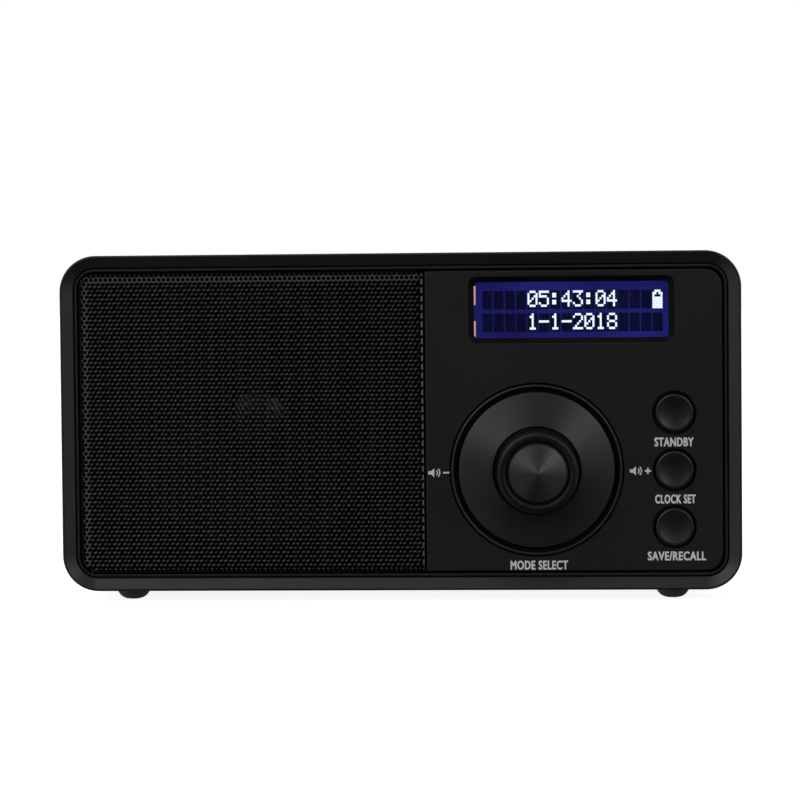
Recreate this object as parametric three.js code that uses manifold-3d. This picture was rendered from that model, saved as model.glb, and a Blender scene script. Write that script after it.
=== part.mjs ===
// Tabletop radio, modelled as the separate pieces it is assembled from.
// Millimetres, +Z up. The front faces -Y. z = 0 is the table under the feet,
// x = 0 is the middle of the case and y = 0 the middle of the overall depth.
import * as THREE from 'three';
import { mergeVertices } from 'three/addons/utils/BufferGeometryUtils.js';
import Module from 'manifold-3d';

// ---- driving dimensions -------------------------------------------------
const CASE_W = 175;            // case width
const CASE_H = 86.8;           // case height without feet
const CASE_R = 9.3;            // outer corner radius
const FOOT_H = 3;              // height of the feet below the case
const WALL = 2.2;              // case wall
const GAP = 0.3;               // working gap between separate pieces

const PANEL_Y = -20.15;        // front plane of the control panel
const RIDGE = -1.5;            // depths below are measured back from that plane
const SEAM = 36;               // where the front shell ends
const BACK = 50.5;             // back wall, outer face
const LEDGE_BACK = 40.5;       // stepped-in upper back wall, outer face
const LEDGE_UP = 23.5;         // height of the step above the case centre
const RIM_W = 3.15;            // width of the sloping front rim
const RIM_DEEP = 1.9;          // how far the rim slopes in

const LEDGE_IN = 3.45;         // baffle frame, outer edge, from the case side
const FRAME_IN = 4.1;          // baffle frame, inner edge
const GRILLE_IN = 4.6;         // grille edge
const PANEL_IN = 4.7;          // control panel edge
const RIM_R = 5.7, LEDGE_R = 5.4, FRAME_R = 4.4, GRILLE_R = 3.9;  // their corner radii
const PANEL_LEFT = 6.8;        // control panel, left edge
const GRILLE_RIGHT = 6.25;     // grille, right edge

const SPEAKER_X = -38.6;
const SPEAKER_R = 34.5;        // opening in the baffle

const DIAL_X = 35.2, DIAL_UP = 30.8;       // dial centre, up from the case bottom
const DIAL_R = 19.95, DIAL_HUB_R = 11.35;  // conical disc
const WELL_R = 21.25, LIP_R = 21.95;       // raised lip round the dial well
const KNOB_R = 10.35, KNOB_FRONT = -9.8;   // centre knob
const CAP_R = 7.55, CAP_FRONT = -10.2;     // spun metal cap
const PRESS = 0.6;                         // travel of the centre knob

const BUTTON_X = 70.45, BUTTON_R = 4.8, BUTTON_HOLE_R = 5.54;
const BUTTON_UP = [45.3, 30.65, 16.0];     // three buttons, up from the case bottom

const LCD_X = 44.3, LCD_UP = 71.9, LCD_W = 49.9, LCD_H = 14.4;

const FOOT_X = 70.5, FOOT_FRONT = 7, FOOT_REAR = 43.5;
const BOSS_X = 79, BOSS_UP = 34.9;         // case screws, from the case centre

const BAY = { x0: 8, x1: 80, z0: 19, z1: 43, deep: 28 };  // battery bay, outside
const CELL_R = 9.2, CELL_L = 64.6;

const ANT_X = 66, ANT_UP = 31, ANT_D = 46;              // antenna pivot
const ANT_R = [3.5, 2.9, 2.3, 1.7, 1.1];                  // section radii
const ANT_END = [-66, -67.5, -69, -70.5, -72];            // stowed section ends
const ANT_START = 56.5;

const BOTTOM = FOOT_H, CENTRE = FOOT_H + CASE_H / 2;
const at = (d) => PANEL_Y + d;             // depth behind the panel plane to y

// ---- solids -------------------------------------------------------------
const wasm = await Module();
wasm.setup();

// A closed solid from a three.js geometry, faces turned outwards.
function solid(geometry) {
  const g = geometry.index ? geometry.toNonIndexed() : geometry;
  g.deleteAttribute('normal');
  g.deleteAttribute('uv');
  const m = mergeVertices(g, 1e-4);
  const p = m.attributes.position.array;
  const index = m.index.array;
  const tris = [];
  let volume = 0;
  for (let i = 0; i < index.length; i += 3) {
    const [a, b, c] = [index[i], index[i + 1], index[i + 2]];
    if (a === b || b === c || c === a) continue;
    tris.push(a, b, c);
    const [ax, ay, az] = [p[3 * a], p[3 * a + 1], p[3 * a + 2]];
    const [bx, by, bz] = [p[3 * b], p[3 * b + 1], p[3 * b + 2]];
    const [cx, cy, cz] = [p[3 * c], p[3 * c + 1], p[3 * c + 2]];
    volume += ax * (by * cz - bz * cy) + ay * (bz * cx - bx * cz) + az * (bx * cy - by * cx);
  }
  if (volume < 0) for (let i = 0; i < tris.length; i += 3) [tris[i], tris[i + 1]] = [tris[i + 1], tris[i]];
  return new wasm.Manifold(new wasm.Mesh({
    numProp: 3, vertProperties: new Float32Array(p), triVerts: new Uint32Array(tris),
  }));
}

// Outline of a rounded rectangle, corners given as one radius or [lower left, lower right, upper right, upper left].
function rounded(x0, z0, x1, z1, r) {
  const [a, b, c, d] = Array.isArray(r) ? r : [r, r, r, r];
  const s = new THREE.Shape();
  s.moveTo(x0 + a, z0);
  s.lineTo(x1 - b, z0);
  if (b) s.absarc(x1 - b, z0 + b, b, -Math.PI / 2, 0, false);
  s.lineTo(x1, z1 - c);
  if (c) s.absarc(x1 - c, z1 - c, c, 0, Math.PI / 2, false);
  s.lineTo(x0 + d, z1);
  if (d) s.absarc(x0 + d, z1 - d, d, Math.PI / 2, Math.PI, false);
  s.lineTo(x0, z0 + a);
  if (a) s.absarc(x0 + a, z0 + a, a, Math.PI, 1.5 * Math.PI, false);
  return s;
}
const middle = (w, h, r, x = 0, z = 0) => rounded(x - w / 2, z - h / 2, x + w / 2, z + h / 2, r);
// Outline of the case drawn in from its sides by some amount.
const inset = (i, r = Math.max(CASE_R - i, 0.4)) => middle(CASE_W - 2 * i, CASE_H - 2 * i, r, 0, CENTRE);
function disc(x, z, r) {
  const s = new THREE.Shape();
  s.absarc(x, z, r, 0, 2 * Math.PI, false);
  return s;
}
// A plate standing in the XZ plane between two depths.
function slab(shape, d0, d1, curve = 2) {
  const g = new THREE.ExtrudeGeometry(shape, { depth: d1 - d0, bevelEnabled: false, curveSegments: curve });
  g.rotateX(Math.PI / 2);
  g.translate(0, at(d1), 0);
  return solid(g);
}
// A box from its corners, with depths for y.
function block(x0, x1, d0, d1, z0, z1) {
  const g = new THREE.BoxGeometry(x1 - x0, d1 - d0, z1 - z0);
  g.translate((x0 + x1) / 2, at((d0 + d1) / 2), (z0 + z1) / 2);
  return solid(g);
}
// A rod along Y between two depths.
function rod(x, z, r, d0, d1, sides = 12) {
  const g = new THREE.CylinderGeometry(r, r, d1 - d0, sides);
  g.translate(x, at((d0 + d1) / 2), z);
  return solid(g);
}
const lathe = (points, sides) => new THREE.LatheGeometry(points.map(([r, h]) => new THREE.Vector2(r, h)), sides);
// Turned about Y; heights run from front to back.
const turnedY = (points, sides = 24) => solid(lathe(points, sides));
const turnedZ = (points, sides = 14) => solid(lathe(points, sides).rotateX(Math.PI / 2));
const turnedX = (points, sides = 12) => solid(lathe(points, sides).rotateZ(-Math.PI / 2));

const radio = new THREE.Group();
function place(manifold, name, colour, roughness, metalness, parent = radio) {
  const got = manifold.getMesh();
  const g = new THREE.BufferGeometry();
  g.setAttribute('position', new THREE.BufferAttribute(new Float32Array(got.vertProperties), 3));
  g.setIndex(new THREE.BufferAttribute(new Uint32Array(got.triVerts), 1));
  g.computeVertexNormals();
  const mesh = new THREE.Mesh(g, new THREE.MeshStandardMaterial({ color: colour, roughness, metalness }));
  mesh.name = name;
  parent.add(mesh);
  return mesh;
}
const group = (x, y, z, parent = radio) => {
  const g = new THREE.Group();
  g.position.set(x, y, z);
  parent.add(g);
  return g;
};

const BLACK = 0x1a1b1c, DARK = 0x101112;

// ---- front shell: a sleeve with a rim that slopes in to the front -------
{
  let s = slab(inset(0), RIDGE, SEAM);
  s = s.subtract(slab(inset(WALL), 0.9, SEAM + 1));
  s = s.subtract(slab(inset(RIM_W, RIM_R), 0, 1.2));
  const slope = new THREE.ExtrudeGeometry(inset(RIM_W, RIM_R), {
    depth: 2, bevelEnabled: true, bevelThickness: RIM_DEEP, bevelSize: RIM_W - 0.6, bevelSegments: 1, curveSegments: 2,
  });
  slope.rotateX(Math.PI / 2);
  slope.translate(0, at(RIDGE), 0);
  s = s.subtract(solid(slope));
  for (const sx of [-1, 1]) {
    for (const sz of [-1, 1]) {
      const x = sx * BOSS_X, z = CENTRE + sz * BOSS_UP, end = sz < 0 ? 43.7 : 33.7;
      let post = rod(x, z, 3.3, 24, end);
      post = post.add(block(Math.min(x, sx * 85.6), Math.max(x, sx * 85.6), 24, 32, z - 0.9, z + 0.9));
      const zw = CENTRE + sz * (CASE_H / 2 - WALL + 0.3);
      post = post.add(block(x - 0.9, x + 0.9, 24, 32, Math.min(z, zw), Math.max(z, zw)));
      s = s.add(post).subtract(rod(x, z, 1.5, end - 8.5, end + 1));
    }
    s = s.subtract(turnedZ([[0, 0], [6.4, 0], [6.4, 0.8], [0, 0.8]]).translate([sx * FOOT_X, at(FOOT_FRONT), BOTTOM - 0.001]));
  }
  place(s, 'front_shell', BLACK, 0.45, 0);
}

// ---- rear cover: stepped back, screw bosses, battery bay, sockets -------
{
  const out = slab(inset(0), SEAM + GAP, BACK).subtract(block(-100, 100, LEDGE_BACK, BACK + 1, CENTRE + LEDGE_UP, 100));
  let room = slab(inset(WALL), SEAM, BACK - WALL);
  room = room.subtract(block(-100, 100, LEDGE_BACK - WALL, BACK + 1, CENTRE + LEDGE_UP - WALL, 100));
  let s = out.subtract(room);
  // tongue that locates in the front shell
  const tongue = slab(inset(2.5), 32.5, 36.9).add(slab(inset(2.0), 36.6, 38)).subtract(slab(inset(4.3), 32, 39));
  s = s.add(tongue);
  for (const sx of [-1, 1]) {
    for (const sz of [-1, 1]) {
      const x = sx * BOSS_X, z = CENTRE + sz * BOSS_UP;
      const wall = sz < 0 ? BACK : LEDGE_BACK;
      s = s.add(rod(x, z, 4.4, wall - 6.5, wall - 1));
      s = s.subtract(rod(x, z, 1.5, wall - 8, wall + 1)).subtract(rod(x, z, 3.1, wall - 3.5, wall + 1));
    }
    s = s.subtract(turnedZ([[0, 0], [6.4, 0], [6.4, 0.8], [0, 0.8]]).translate([sx * FOOT_X, at(FOOT_REAR), BOTTOM - 0.001]));
  }
  // battery bay with a thickened frame for its door
  s = s.add(block(BAY.x0, BAY.x1, BAY.deep, BACK - 1, BAY.z0, BAY.z1));
  s = s.add(block(BAY.x0 - 3, BAY.x1 + 3, BACK - 4, BACK - 1, BAY.z0 - 3, BAY.z1 + 3));
  s = s.subtract(block(BAY.x0 + 1.5, BAY.x1 - 1.5, BAY.deep + 1.5, BACK + 1, BAY.z0 + 1.5, BAY.z1 - 1.5));
  s = s.subtract(block(BAY.x0 - 1, BAY.x1 + 1, BACK - 1.8, BACK + 1, BAY.z0 - 1, BAY.z1 + 1));
  s = s.subtract(rod((BAY.x0 + BAY.x1) / 2, BAY.z1 + 1, 5, BACK - 1.2, BACK + 1, 20));
  // headphone jack, charging socket and antenna bush
  s = s.subtract(rod(-66, 26, 3.3, BACK - 3, BACK + 1));
  s = s.subtract(slab(middle(9.6, 3.9, 1.9, -46, 26), BACK - 3, BACK + 1));
  s = s.subtract(rod(ANT_X, CENTRE + ANT_UP, 3.3, LEDGE_BACK - 3, LEDGE_BACK + 1));
  place(s, 'rear_cover', BLACK, 0.5, 0);
}

// ---- front baffle: carries speaker, display, dial and buttons -----------
{
  let s = slab(inset(2.5), 1.2, 4.3).add(slab(inset(LEDGE_IN, LEDGE_R), 0.6, 4.3)).subtract(slab(inset(FRAME_IN, FRAME_R), 0, 2.3));
  s = s.subtract(rod(SPEAKER_X, CENTRE, SPEAKER_R, 0, 6, 28));
  s = s.subtract(slab(middle(58.6, 19.6, 0.5, LCD_X, BOTTOM + LCD_UP), 0, 6, 1));
  s = s.subtract(rod(DIAL_X, BOTTOM + DIAL_UP, 6.6, 0, 6, 16));
  for (const up of BUTTON_UP) s = s.subtract(rod(BUTTON_X, BOTTOM + up, 6.9, 0, 6, 14));
  for (const sx of [-1, 1]) for (const sz of [-1, 1]) s = s.subtract(rod(SPEAKER_X + sx * 28.6, CENTRE + sz * 28.6, 1.5, 2.9, 6, 12));
  for (const z of [14, 58]) s = s.add(rod(13.5, z, 3, 4, 13.7, 12)).subtract(rod(13.5, z, 1.5, 7, 14, 12));
  place(s, 'front_baffle', DARK, 0.55, 0);
}

// ---- control panel ------------------------------------------------------
{
  const r = CASE_R - PANEL_IN;
  const z0 = BOTTOM + PANEL_IN, z1 = BOTTOM + CASE_H - PANEL_IN;
  let s = slab(rounded(PANEL_LEFT, z0, CASE_W / 2 - PANEL_IN, z1, [0.4, r, r, 0.4]), 0, 2);
  const zl = BOTTOM + LCD_UP;
  // window: sloping sides at the front, a pocket for the lens at the back
  const bevel = new THREE.ExtrudeGeometry(middle(LCD_W, LCD_H, 1.3, LCD_X, zl), {
    depth: 1, bevelEnabled: true, bevelThickness: 1.2, bevelSize: 1.45, bevelSegments: 1, curveSegments: 2,
  });
  bevel.rotateX(Math.PI / 2);
  bevel.translate(0, at(0), 0);
  s = s.subtract(solid(bevel)).subtract(slab(middle(LCD_W, LCD_H, 1.3, LCD_X, zl), 1, 2.5, 2));
  s = s.subtract(slab(middle(54.3, 18.8, 0.5, LCD_X, zl), 1.2, 3, 1));
  s = s.subtract(rod(DIAL_X, BOTTOM + DIAL_UP, 22.3, -1, 3, 36));
  for (const up of BUTTON_UP) s = s.subtract(rod(BUTTON_X, BOTTOM + up, BUTTON_HOLE_R, -1, 3, 18));
  place(s, 'control_panel', 0x1c1d1e, 0.6, 0);
}

// ---- speaker grille: a shallow tray with a folded edge ------------------
{
  const z0 = BOTTOM + GRILLE_IN, z1 = BOTTOM + CASE_H - GRILLE_IN, x0 = -CASE_W / 2 + GRILLE_IN;
  let s = slab(rounded(x0, z0, GRILLE_RIGHT, z1, [GRILLE_R, 0.6, 0.6, GRILLE_R]), 0, 2);
  s = s.subtract(slab(rounded(x0 + 0.8, z0 + 0.8, GRILLE_RIGHT - 0.8, z1 - 0.8, [GRILLE_R - 0.8, 0.2, 0.2, GRILLE_R - 0.8]), 0.8, 3));
  place(s, 'speaker_grille', 0x2a2b2c, 0.4, 0.9);
}

// ---- display ------------------------------------------------------------
{
  const z = BOTTOM + LCD_UP;
  place(slab(middle(53.7, 18.2, 0.3, LCD_X, z), 1.5, 2.4, 1), 'lcd_window', 0x2b2e3c, 0.08, 0);
  const frame = slab(middle(58, 19, 0.3, LCD_X, z), 2.7, 7.5, 1)
    .subtract(slab(middle(50.6, 15.1, 0.3, LCD_X, z), 2, 4, 1))
    .subtract(slab(middle(56, 17.4, 0.3, LCD_X, z), 3.2, 8, 1));
  place(frame, 'lcd_frame', 0x2c2c2c, 0.4, 0.9);
  place(slab(middle(55.4, 16.8, 0.3, LCD_X, z), 3.5, 4.6, 1), 'lcd_glass', 0x1a1a66, 0.15, 0);
  place(slab(middle(55.4, 16.8, 0.3, LCD_X, z), 4.9, 7.2, 1), 'lcd_backlight', 0xe8ecff, 0.5, 0);
  place(slab(middle(62, 20, 0.3, LCD_X, z), 7.8, 9.2, 1), 'lcd_board', 0x0e4a2a, 0.5, 0);
}

// ---- dial: well, conical disc, centre knob and its spun cap -------------
const dial = group(DIAL_X, PANEL_Y, BOTTOM + DIAL_UP);
place(turnedY([[LIP_R, 2], [LIP_R, -0.3], [LIP_R - 0.2, -0.5], [WELL_R + 0.2, -0.5], [WELL_R, -0.3], [WELL_R, 1.2],
  [6.4, 1.2], [6.4, 2], [LIP_R, 2]], 36), 'dial_surround', 0x202122, 0.5, 0, dial);
place(turnedY([[DIAL_R, -0.1], [DIAL_R - 0.15, -0.3], [DIAL_HUB_R, -2.3], [DIAL_HUB_R, -0.6], [3.4, -0.6], [3.4, 12],
  [5.9, 12], [5.9, 0.9], [DIAL_R - 0.2, 0.9], [DIAL_R, 0.7], [DIAL_R, -0.1]], 32), 'dial_disc', 0x232425, 0.35, 0, dial);
place(turnedY([[0, 11.8], [3.1, 11.8], [3.1, -7.6], [9.1, -7.6], [9.1, -1.5], [KNOB_R - 0.15, -1.5], [KNOB_R, -1.7],
  [KNOB_R, -9.2], [KNOB_R - 0.35, -9.65], [KNOB_R - 1, KNOB_FRONT], [8.5, -9.6], [8.15, -9.2], [8.15, -8.6], [0, -8.6]], 24),
'knob_body', 0x191a1b, 0.35, 0, dial);
place(turnedY([[0, -8.9], [CAP_R - 0.15, -8.9], [CAP_R, -9.05], [CAP_R, -9.25], [CAP_R - 0.25, -9.45], [0, CAP_FRONT]], 24),
  'knob_cap', 0x55585c, 0.3, 1, dial);
{
  const s = block(-7, 7, 9, 13.7, -7, 7).subtract(rod(0, 0, 6.3, 8, 12.7, 20));
  const mesh = place(s, 'dial_encoder', 0x3b3f44, 0.45, 0.5, dial);
  mesh.position.y = -PANEL_Y;
}

// ---- buttons and their switches ----------------------------------------
['power', 'clock', 'memory'].forEach((name, i) => {
  const seat = group(BUTTON_X, PANEL_Y, BOTTOM + BUTTON_UP[i]);
  place(turnedY([[0, 9.2], [1.8, 9.2], [1.8, 3.1], [6.3, 3.1], [6.3, 2.3], [BUTTON_R, 2.3], [BUTTON_R, -0.5],
    [BUTTON_R - 0.3, -0.8], [4.1, -0.8], [2.6, -0.35], [0, -0.1]], 16), `${name}_button`, 0x1d1e1f, 0.4, 0, seat);
  const body = new THREE.BoxGeometry(6, 3.1, 6).translate(0, 12.15, 0);
  const tip = new THREE.CylinderGeometry(1.75, 1.75, 0.6, 12).translate(0, 10.6, 0);
  place(solid(body).add(solid(tip)), `${name}_switch`, 0x17181a, 0.5, 0, seat);
});

// ---- control board and its screws --------------------------------------
{
  let s = slab(rounded(10, 10, 82.5, 62, 1), 14, 15.6, 1);
  for (const z of [14, 58]) s = s.subtract(rod(13.5, z, 1.5, 13, 17, 12));
  place(s, 'control_board', 0x0f4d2c, 0.5, 0);
}
const screw = (headR, headL, shankR, shankL) => turnedY(
  [[0, -shankL], [shankR - 0.3, -shankL], [shankR, -shankL + 0.6], [shankR, 0], [headR, 0], [headR, headL - 0.4], [headR - 0.5, headL], [0, headL]], 8);
[14, 58].forEach((z, i) => {
  place(screw(2.2, 1.5, 1.2, 7.6), `control_board_screw_${i + 1}`, 0x8b8d90, 0.35, 1, group(13.5, at(15.9), z));
});

// ---- loudspeaker --------------------------------------------------------
const speaker = group(SPEAKER_X, PANEL_Y, CENTRE);
place(turnedY([[34.8, 4.6], [38.4, 4.6], [38.4, 5.4], [34.8, 5.4], [34.8, 4.6]], 24), 'speaker_gasket', 0x141414, 0.9, 0, speaker);
{
  let s = turnedY([[35, 5.7], [38.5, 5.7], [38.5, 6.7], [35.8, 6.7], [31.5, 12], [21.5, 20.5], [20, 24], [12, 24], [12, 23], [19, 23],
    [20.6, 19.8], [30.6, 11.4], [35, 5.7]], 24);
  for (const sx of [-1, 1]) {
    for (const sz of [-1, 1]) {
      const lug = new THREE.CylinderGeometry(4, 4, 1, 12).translate(sx * 28.6, 6.2, sz * 28.6);
      const hole = new THREE.CylinderGeometry(1.6, 1.6, 3, 8).translate(sx * 28.6, 6.2, sz * 28.6);
      s = s.add(solid(lug).subtract(solid(new THREE.CylinderGeometry(36.5, 36.5, 3, 24).translate(0, 6.2, 0)))).subtract(solid(hole));
    }
  }
  for (let i = 0; i < 4; i += 1) {
    const w = new THREE.BoxGeometry(17, 8.5, 30).translate(0, 16.2, 30).rotateY((i * Math.PI) / 2);
    s = s.subtract(solid(w));
  }
  place(s, 'speaker_basket', 0x3a3c3e, 0.5, 0.8, speaker);
}
place(turnedY([[12.5, 24.3], [22.5, 24.3], [22.5, 35], [21.5, 36], [0, 36], [0, 26], [12.5, 26], [12.5, 24.3]], 20), 'speaker_magnet', 0x2a2b2d, 0.6, 0.6, speaker);
place(turnedY([[29.6, 6.3], [29.6, 6.9], [11, 18.6], [11, 18], [29.6, 6.3]], 24), 'speaker_cone', 0x161616, 0.8, 0, speaker);
place(turnedY([[29.9, 6.4], [30.6, 5.2], [32.1, 4.6], [33.6, 5.2], [34.3, 5.8], [33.2, 5.9], [32.1, 5.2], [31, 5.8], [30.4, 6.8], [29.9, 6.4]], 24), 'speaker_surround', 0x101010, 0.9, 0, speaker);
place(turnedY([[10.6, 17.6], [8.6, 15.2], [5, 13.4], [0, 12.6], [0, 13.2], [4.8, 14], [8.2, 15.7], [10.1, 17.9], [10.6, 17.6]], 20),
  'speaker_dust_cap', 0x18191a, 0.4, 0, speaker);
{
  let n = 0;
  for (const sx of [-1, 1]) for (const sz of [-1, 1]) {
    n += 1;
    place(screw(2.6, 1.6, 1.2, 3.7), `speaker_screw_${n}`, 0x8b8d90, 0.35, 1, group(sx * 28.6, 7, sz * 28.6, speaker));
  }
}

// ---- main board, shield can and sockets --------------------------------
place(slab(rounded(-80, 17, 4, 62, 1.5), 38, 39.6, 1), 'main_board', 0x0f4d2c, 0.5, 0);
{
  const can = block(-38, -14, 39.9, 43.4, 36, 56).subtract(block(-37.4, -14.6, 39, 42.9, 36.6, 55.4));
  place(can, 'tuner_shield', 0xa9acb0, 0.35, 1);
  const jack = block(-72, -60, 39.9, 48, 21, 31).add(rod(-66, 26, 3, 47.5, BACK - 0.2)).subtract(rod(-66, 26, 1.8, 42, BACK + 1, 12));
  place(jack, 'headphone_jack', 0x111111, 0.4, 0);
  const socket = slab(middle(9, 3.3, 1.6, -46, 26), 39.9, BACK - 0.3, 2).subtract(slab(middle(8.3, 2.6, 1.25, -46, 26), 43, BACK + 1, 2))
    .add(block(-49.2, -42.8, 42.5, 49, 25.65, 26.35));
  place(socket, 'charge_socket', 0xb4b7ba, 0.3, 1);
}

// ---- battery, contacts and door ----------------------------------------
{
  const x = (BAY.x0 + BAY.x1) / 2, z = (BAY.z0 + BAY.z1) / 2, y = at(39);
  const cell = group(x, y, z);
  place(turnedX([[0, -CELL_L / 2], [CELL_R, -CELL_L / 2], [CELL_R, CELL_L / 2 - 1], [3, CELL_L / 2 - 1], [3, CELL_L / 2], [0, CELL_L / 2]], 16),
    'battery_pack', 0x2a5a9a, 0.4, 0, cell);
  for (const [name, sx] of [['battery_contact_left', -1], ['battery_contact_right', 1]]) {
    const c = turnedX([[0, 0], [5.5, 0], [5.5, 0.5], [3, 0.5], [2, 1.4], [0, 1.4]], 12);
    const m = place(sx < 0 ? c : c.mirror([1, 0, 0]), name, 0xb8bbbe, 0.3, 1, cell);
    m.position.x = sx * (CELL_L / 2 + 0.3 + 1.4);
  }
  let door = block(BAY.x0 - 0.7, BAY.x1 + 0.7, BACK - 1.5, BACK, BAY.z0 - 0.7, BAY.z1 + 0.7);
  for (const k of [-1, 0, 1]) door = door.subtract(block(x - 9, x + 9, BACK - 0.5, BACK + 1, BAY.z1 - 4.5 + k * 1.8 - 0.4, BAY.z1 - 4.5 + k * 1.8 + 0.4));
  place(door, 'battery_door', 0x18191a, 0.55, 0);
}

// ---- feet: flat spot, spherical side, short neck in a recess ------------
for (const [name, sx, d] of [['foot_front_left', -1, FOOT_FRONT], ['foot_front_right', 1, FOOT_FRONT], ['foot_rear_left', -1, FOOT_REAR], ['foot_rear_right', 1, FOOT_REAR]]) {
  place(turnedZ([[0, 0], [2.4, 0], [3.8, 0.8], [4.9, 1.7], [6, 3], [6, 3.5], [0, 3.5]], 14), name, 0x1a1a1a, 0.9, 0, group(sx * FOOT_X, at(d), 0));
}

// ---- case screws --------------------------------------------------------
{
  let n = 0;
  for (const sx of [-1, 1]) for (const sz of [-1, 1]) {
    n += 1;
    place(screw(2.7, 1.7, 1.2, 10), `case_screw_${n}`, 0x6f7174, 0.35, 1, group(sx * BOSS_X, at((sz < 0 ? BACK : LEDGE_BACK) - 3.2), CENTRE + sz * BOSS_UP));
  }
}

// ---- telescopic antenna, stowed across the stepped-in back --------------
const mast = group(ANT_X, at(ANT_D), CENTRE + ANT_UP);
const back = (d) => d - ANT_D;
place(turnedY([[3.3, back(36.6)], [5.2, back(36.6)], [5.2, back(38)], [3.3, back(38)], [3.3, back(36.6)]], 14), 'antenna_clip', 0x9a9da0, 0.35, 1, mast);
{
  const base = turnedY([[0, back(36)], [3, back(36)], [3, back(40.8)], [6, back(40.8)], [6, back(41.8)], [0, back(41.8)]], 14);
  let fork = solid(new THREE.BoxGeometry(6.6, 4.6, 7.4).translate(0, back(41.8) + 2.1, 0))
    .add(solid(new THREE.CylinderGeometry(3.3, 3.3, 7.4, 16).rotateX(Math.PI / 2)));
  fork = fork.subtract(solid(new THREE.BoxGeometry(9, 12, 4).translate(0, back(41.8) + 6, 0)));
  fork = fork.subtract(solid(new THREE.CylinderGeometry(1.2, 1.2, 9, 8).rotateX(Math.PI / 2)));
  place(base.add(fork), 'antenna_base', 0x8c8f93, 0.3, 1, mast);
  place(solid(new THREE.CylinderGeometry(0.9, 0.9, 7.6, 8).rotateX(Math.PI / 2)), 'antenna_pin', 0xa0a3a6, 0.3, 1, mast);
  let knuckle = solid(new THREE.CylinderGeometry(3.1, 3.1, 3.4, 16).rotateX(Math.PI / 2))
    .add(solid(new THREE.BoxGeometry(6.5, 4.6, 3.4).translate(-3.25, 0, 0)))
    .add(solid(new THREE.CylinderGeometry(2.9, 2.9, 3.5, 12).rotateZ(Math.PI / 2).translate(-7.25, 0, 0)));
  knuckle = knuckle.subtract(solid(new THREE.CylinderGeometry(1.2, 1.2, 9, 8).rotateX(Math.PI / 2)));
  place(knuckle, 'antenna_knuckle', 0x8c8f93, 0.3, 1, mast);
}
for (let i = 0; i < 5; i += 1) {
  const x0 = ANT_END[i] - ANT_X, x1 = i === 0 ? -5.2 : ANT_START - ANT_X, r = ANT_R[i];
  const s = i < 4
    ? turnedX([[r - 0.3, x0], [r, x0], [r, x1], [r - 0.3, x1], [r - 0.3, x0]])
    : turnedX([[0, x0], [r, x0], [r, x1], [0, x1]], 12);
  place(s, i < 4 ? `antenna_tube_${i + 1}` : 'antenna_rod', 0xb9bcc0, 0.2, 1, mast);
}
place(turnedX([[0, -145.6], [2.2, -145.6], [3, -144.8], [3, -139], [2.4, -138.3], [0, -138.3]], 16), 'antenna_tip', 0xb9bcc0, 0.2, 1, mast);

export default radio;
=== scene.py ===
import math
from math import cos, pi, sin

import bmesh
import bpy
from mathutils import Matrix, Vector
from mathutils.geometry import delaunay_2d_cdt


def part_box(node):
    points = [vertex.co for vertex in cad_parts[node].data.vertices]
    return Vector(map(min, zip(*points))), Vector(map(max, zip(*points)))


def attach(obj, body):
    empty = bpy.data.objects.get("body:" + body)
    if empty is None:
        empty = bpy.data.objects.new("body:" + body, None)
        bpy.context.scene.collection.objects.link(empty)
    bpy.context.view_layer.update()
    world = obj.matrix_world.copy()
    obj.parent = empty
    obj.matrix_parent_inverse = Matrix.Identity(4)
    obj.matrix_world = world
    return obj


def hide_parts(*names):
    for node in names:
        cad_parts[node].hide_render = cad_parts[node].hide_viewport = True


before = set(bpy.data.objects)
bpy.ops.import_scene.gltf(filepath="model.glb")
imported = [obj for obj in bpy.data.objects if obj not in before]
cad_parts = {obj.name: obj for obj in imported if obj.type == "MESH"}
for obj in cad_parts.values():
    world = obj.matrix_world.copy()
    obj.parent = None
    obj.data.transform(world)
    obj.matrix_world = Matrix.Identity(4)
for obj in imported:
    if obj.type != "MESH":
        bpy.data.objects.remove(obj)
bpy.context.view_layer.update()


MM = 0.001
scene = bpy.context.scene
coll = scene.collection


def centre(node):
    lo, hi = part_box(node)
    return [(lo[i] + hi[i]) / 2 / MM for i in range(3)]


# ---- places read from the frame, in mm -----------------------------------
lo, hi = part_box("control_panel")
PANEL_Y = lo[1] / MM
PX0, PX1, PZ0, PZ1 = lo[0] / MM, hi[0] / MM, lo[2] / MM, hi[2] / MM
lo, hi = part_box("front_shell")
W, H = (hi[0] - lo[0]) / MM, (hi[2] - lo[2]) / MM
BOT = lo[2] / MM
CZ = BOT + H / 2
lo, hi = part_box("rear_cover")
BACK = hi[1] / MM - PANEL_Y
DX, _, DZ = centre("dial_disc")
LX, _, LZ = centre("lcd_window")
SX, _, SZ = centre("speaker_cone")
lo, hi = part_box("speaker_grille")
GX0, GX1, GZ0, GZ1 = lo[0] / MM, hi[0] / MM, lo[2] / MM, hi[2] / MM
lo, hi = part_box("battery_door")
BX0, BX1, BZ0, BZ1 = lo[0] / MM, hi[0] / MM, lo[2] / MM, hi[2] / MM
AX, _, AZ = centre("antenna_clip")
RIDGE, SEAM, STEP_D, STEP_UP, WALL = -1.5, 36.0, 40.5, 23.5, 2.2
ANT_D = 46.0


def at(d):
    return PANEL_Y + d


# ---- mesh helpers ----------------------------------------------------------
def make(name, verts, faces):
    me = bpy.data.meshes.new(name)
    me.from_pydata([(x * MM, y * MM, z * MM) for x, y, z in verts], [], faces)
    bm = bmesh.new()
    bm.from_mesh(me)
    bmesh.ops.remove_doubles(bm, verts=bm.verts, dist=1e-8)
    bmesh.ops.recalc_face_normals(bm, faces=bm.faces)
    bm.to_mesh(me)
    bm.free()
    ob = bpy.data.objects.new(name, me)
    coll.objects.link(ob)
    return ob


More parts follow.
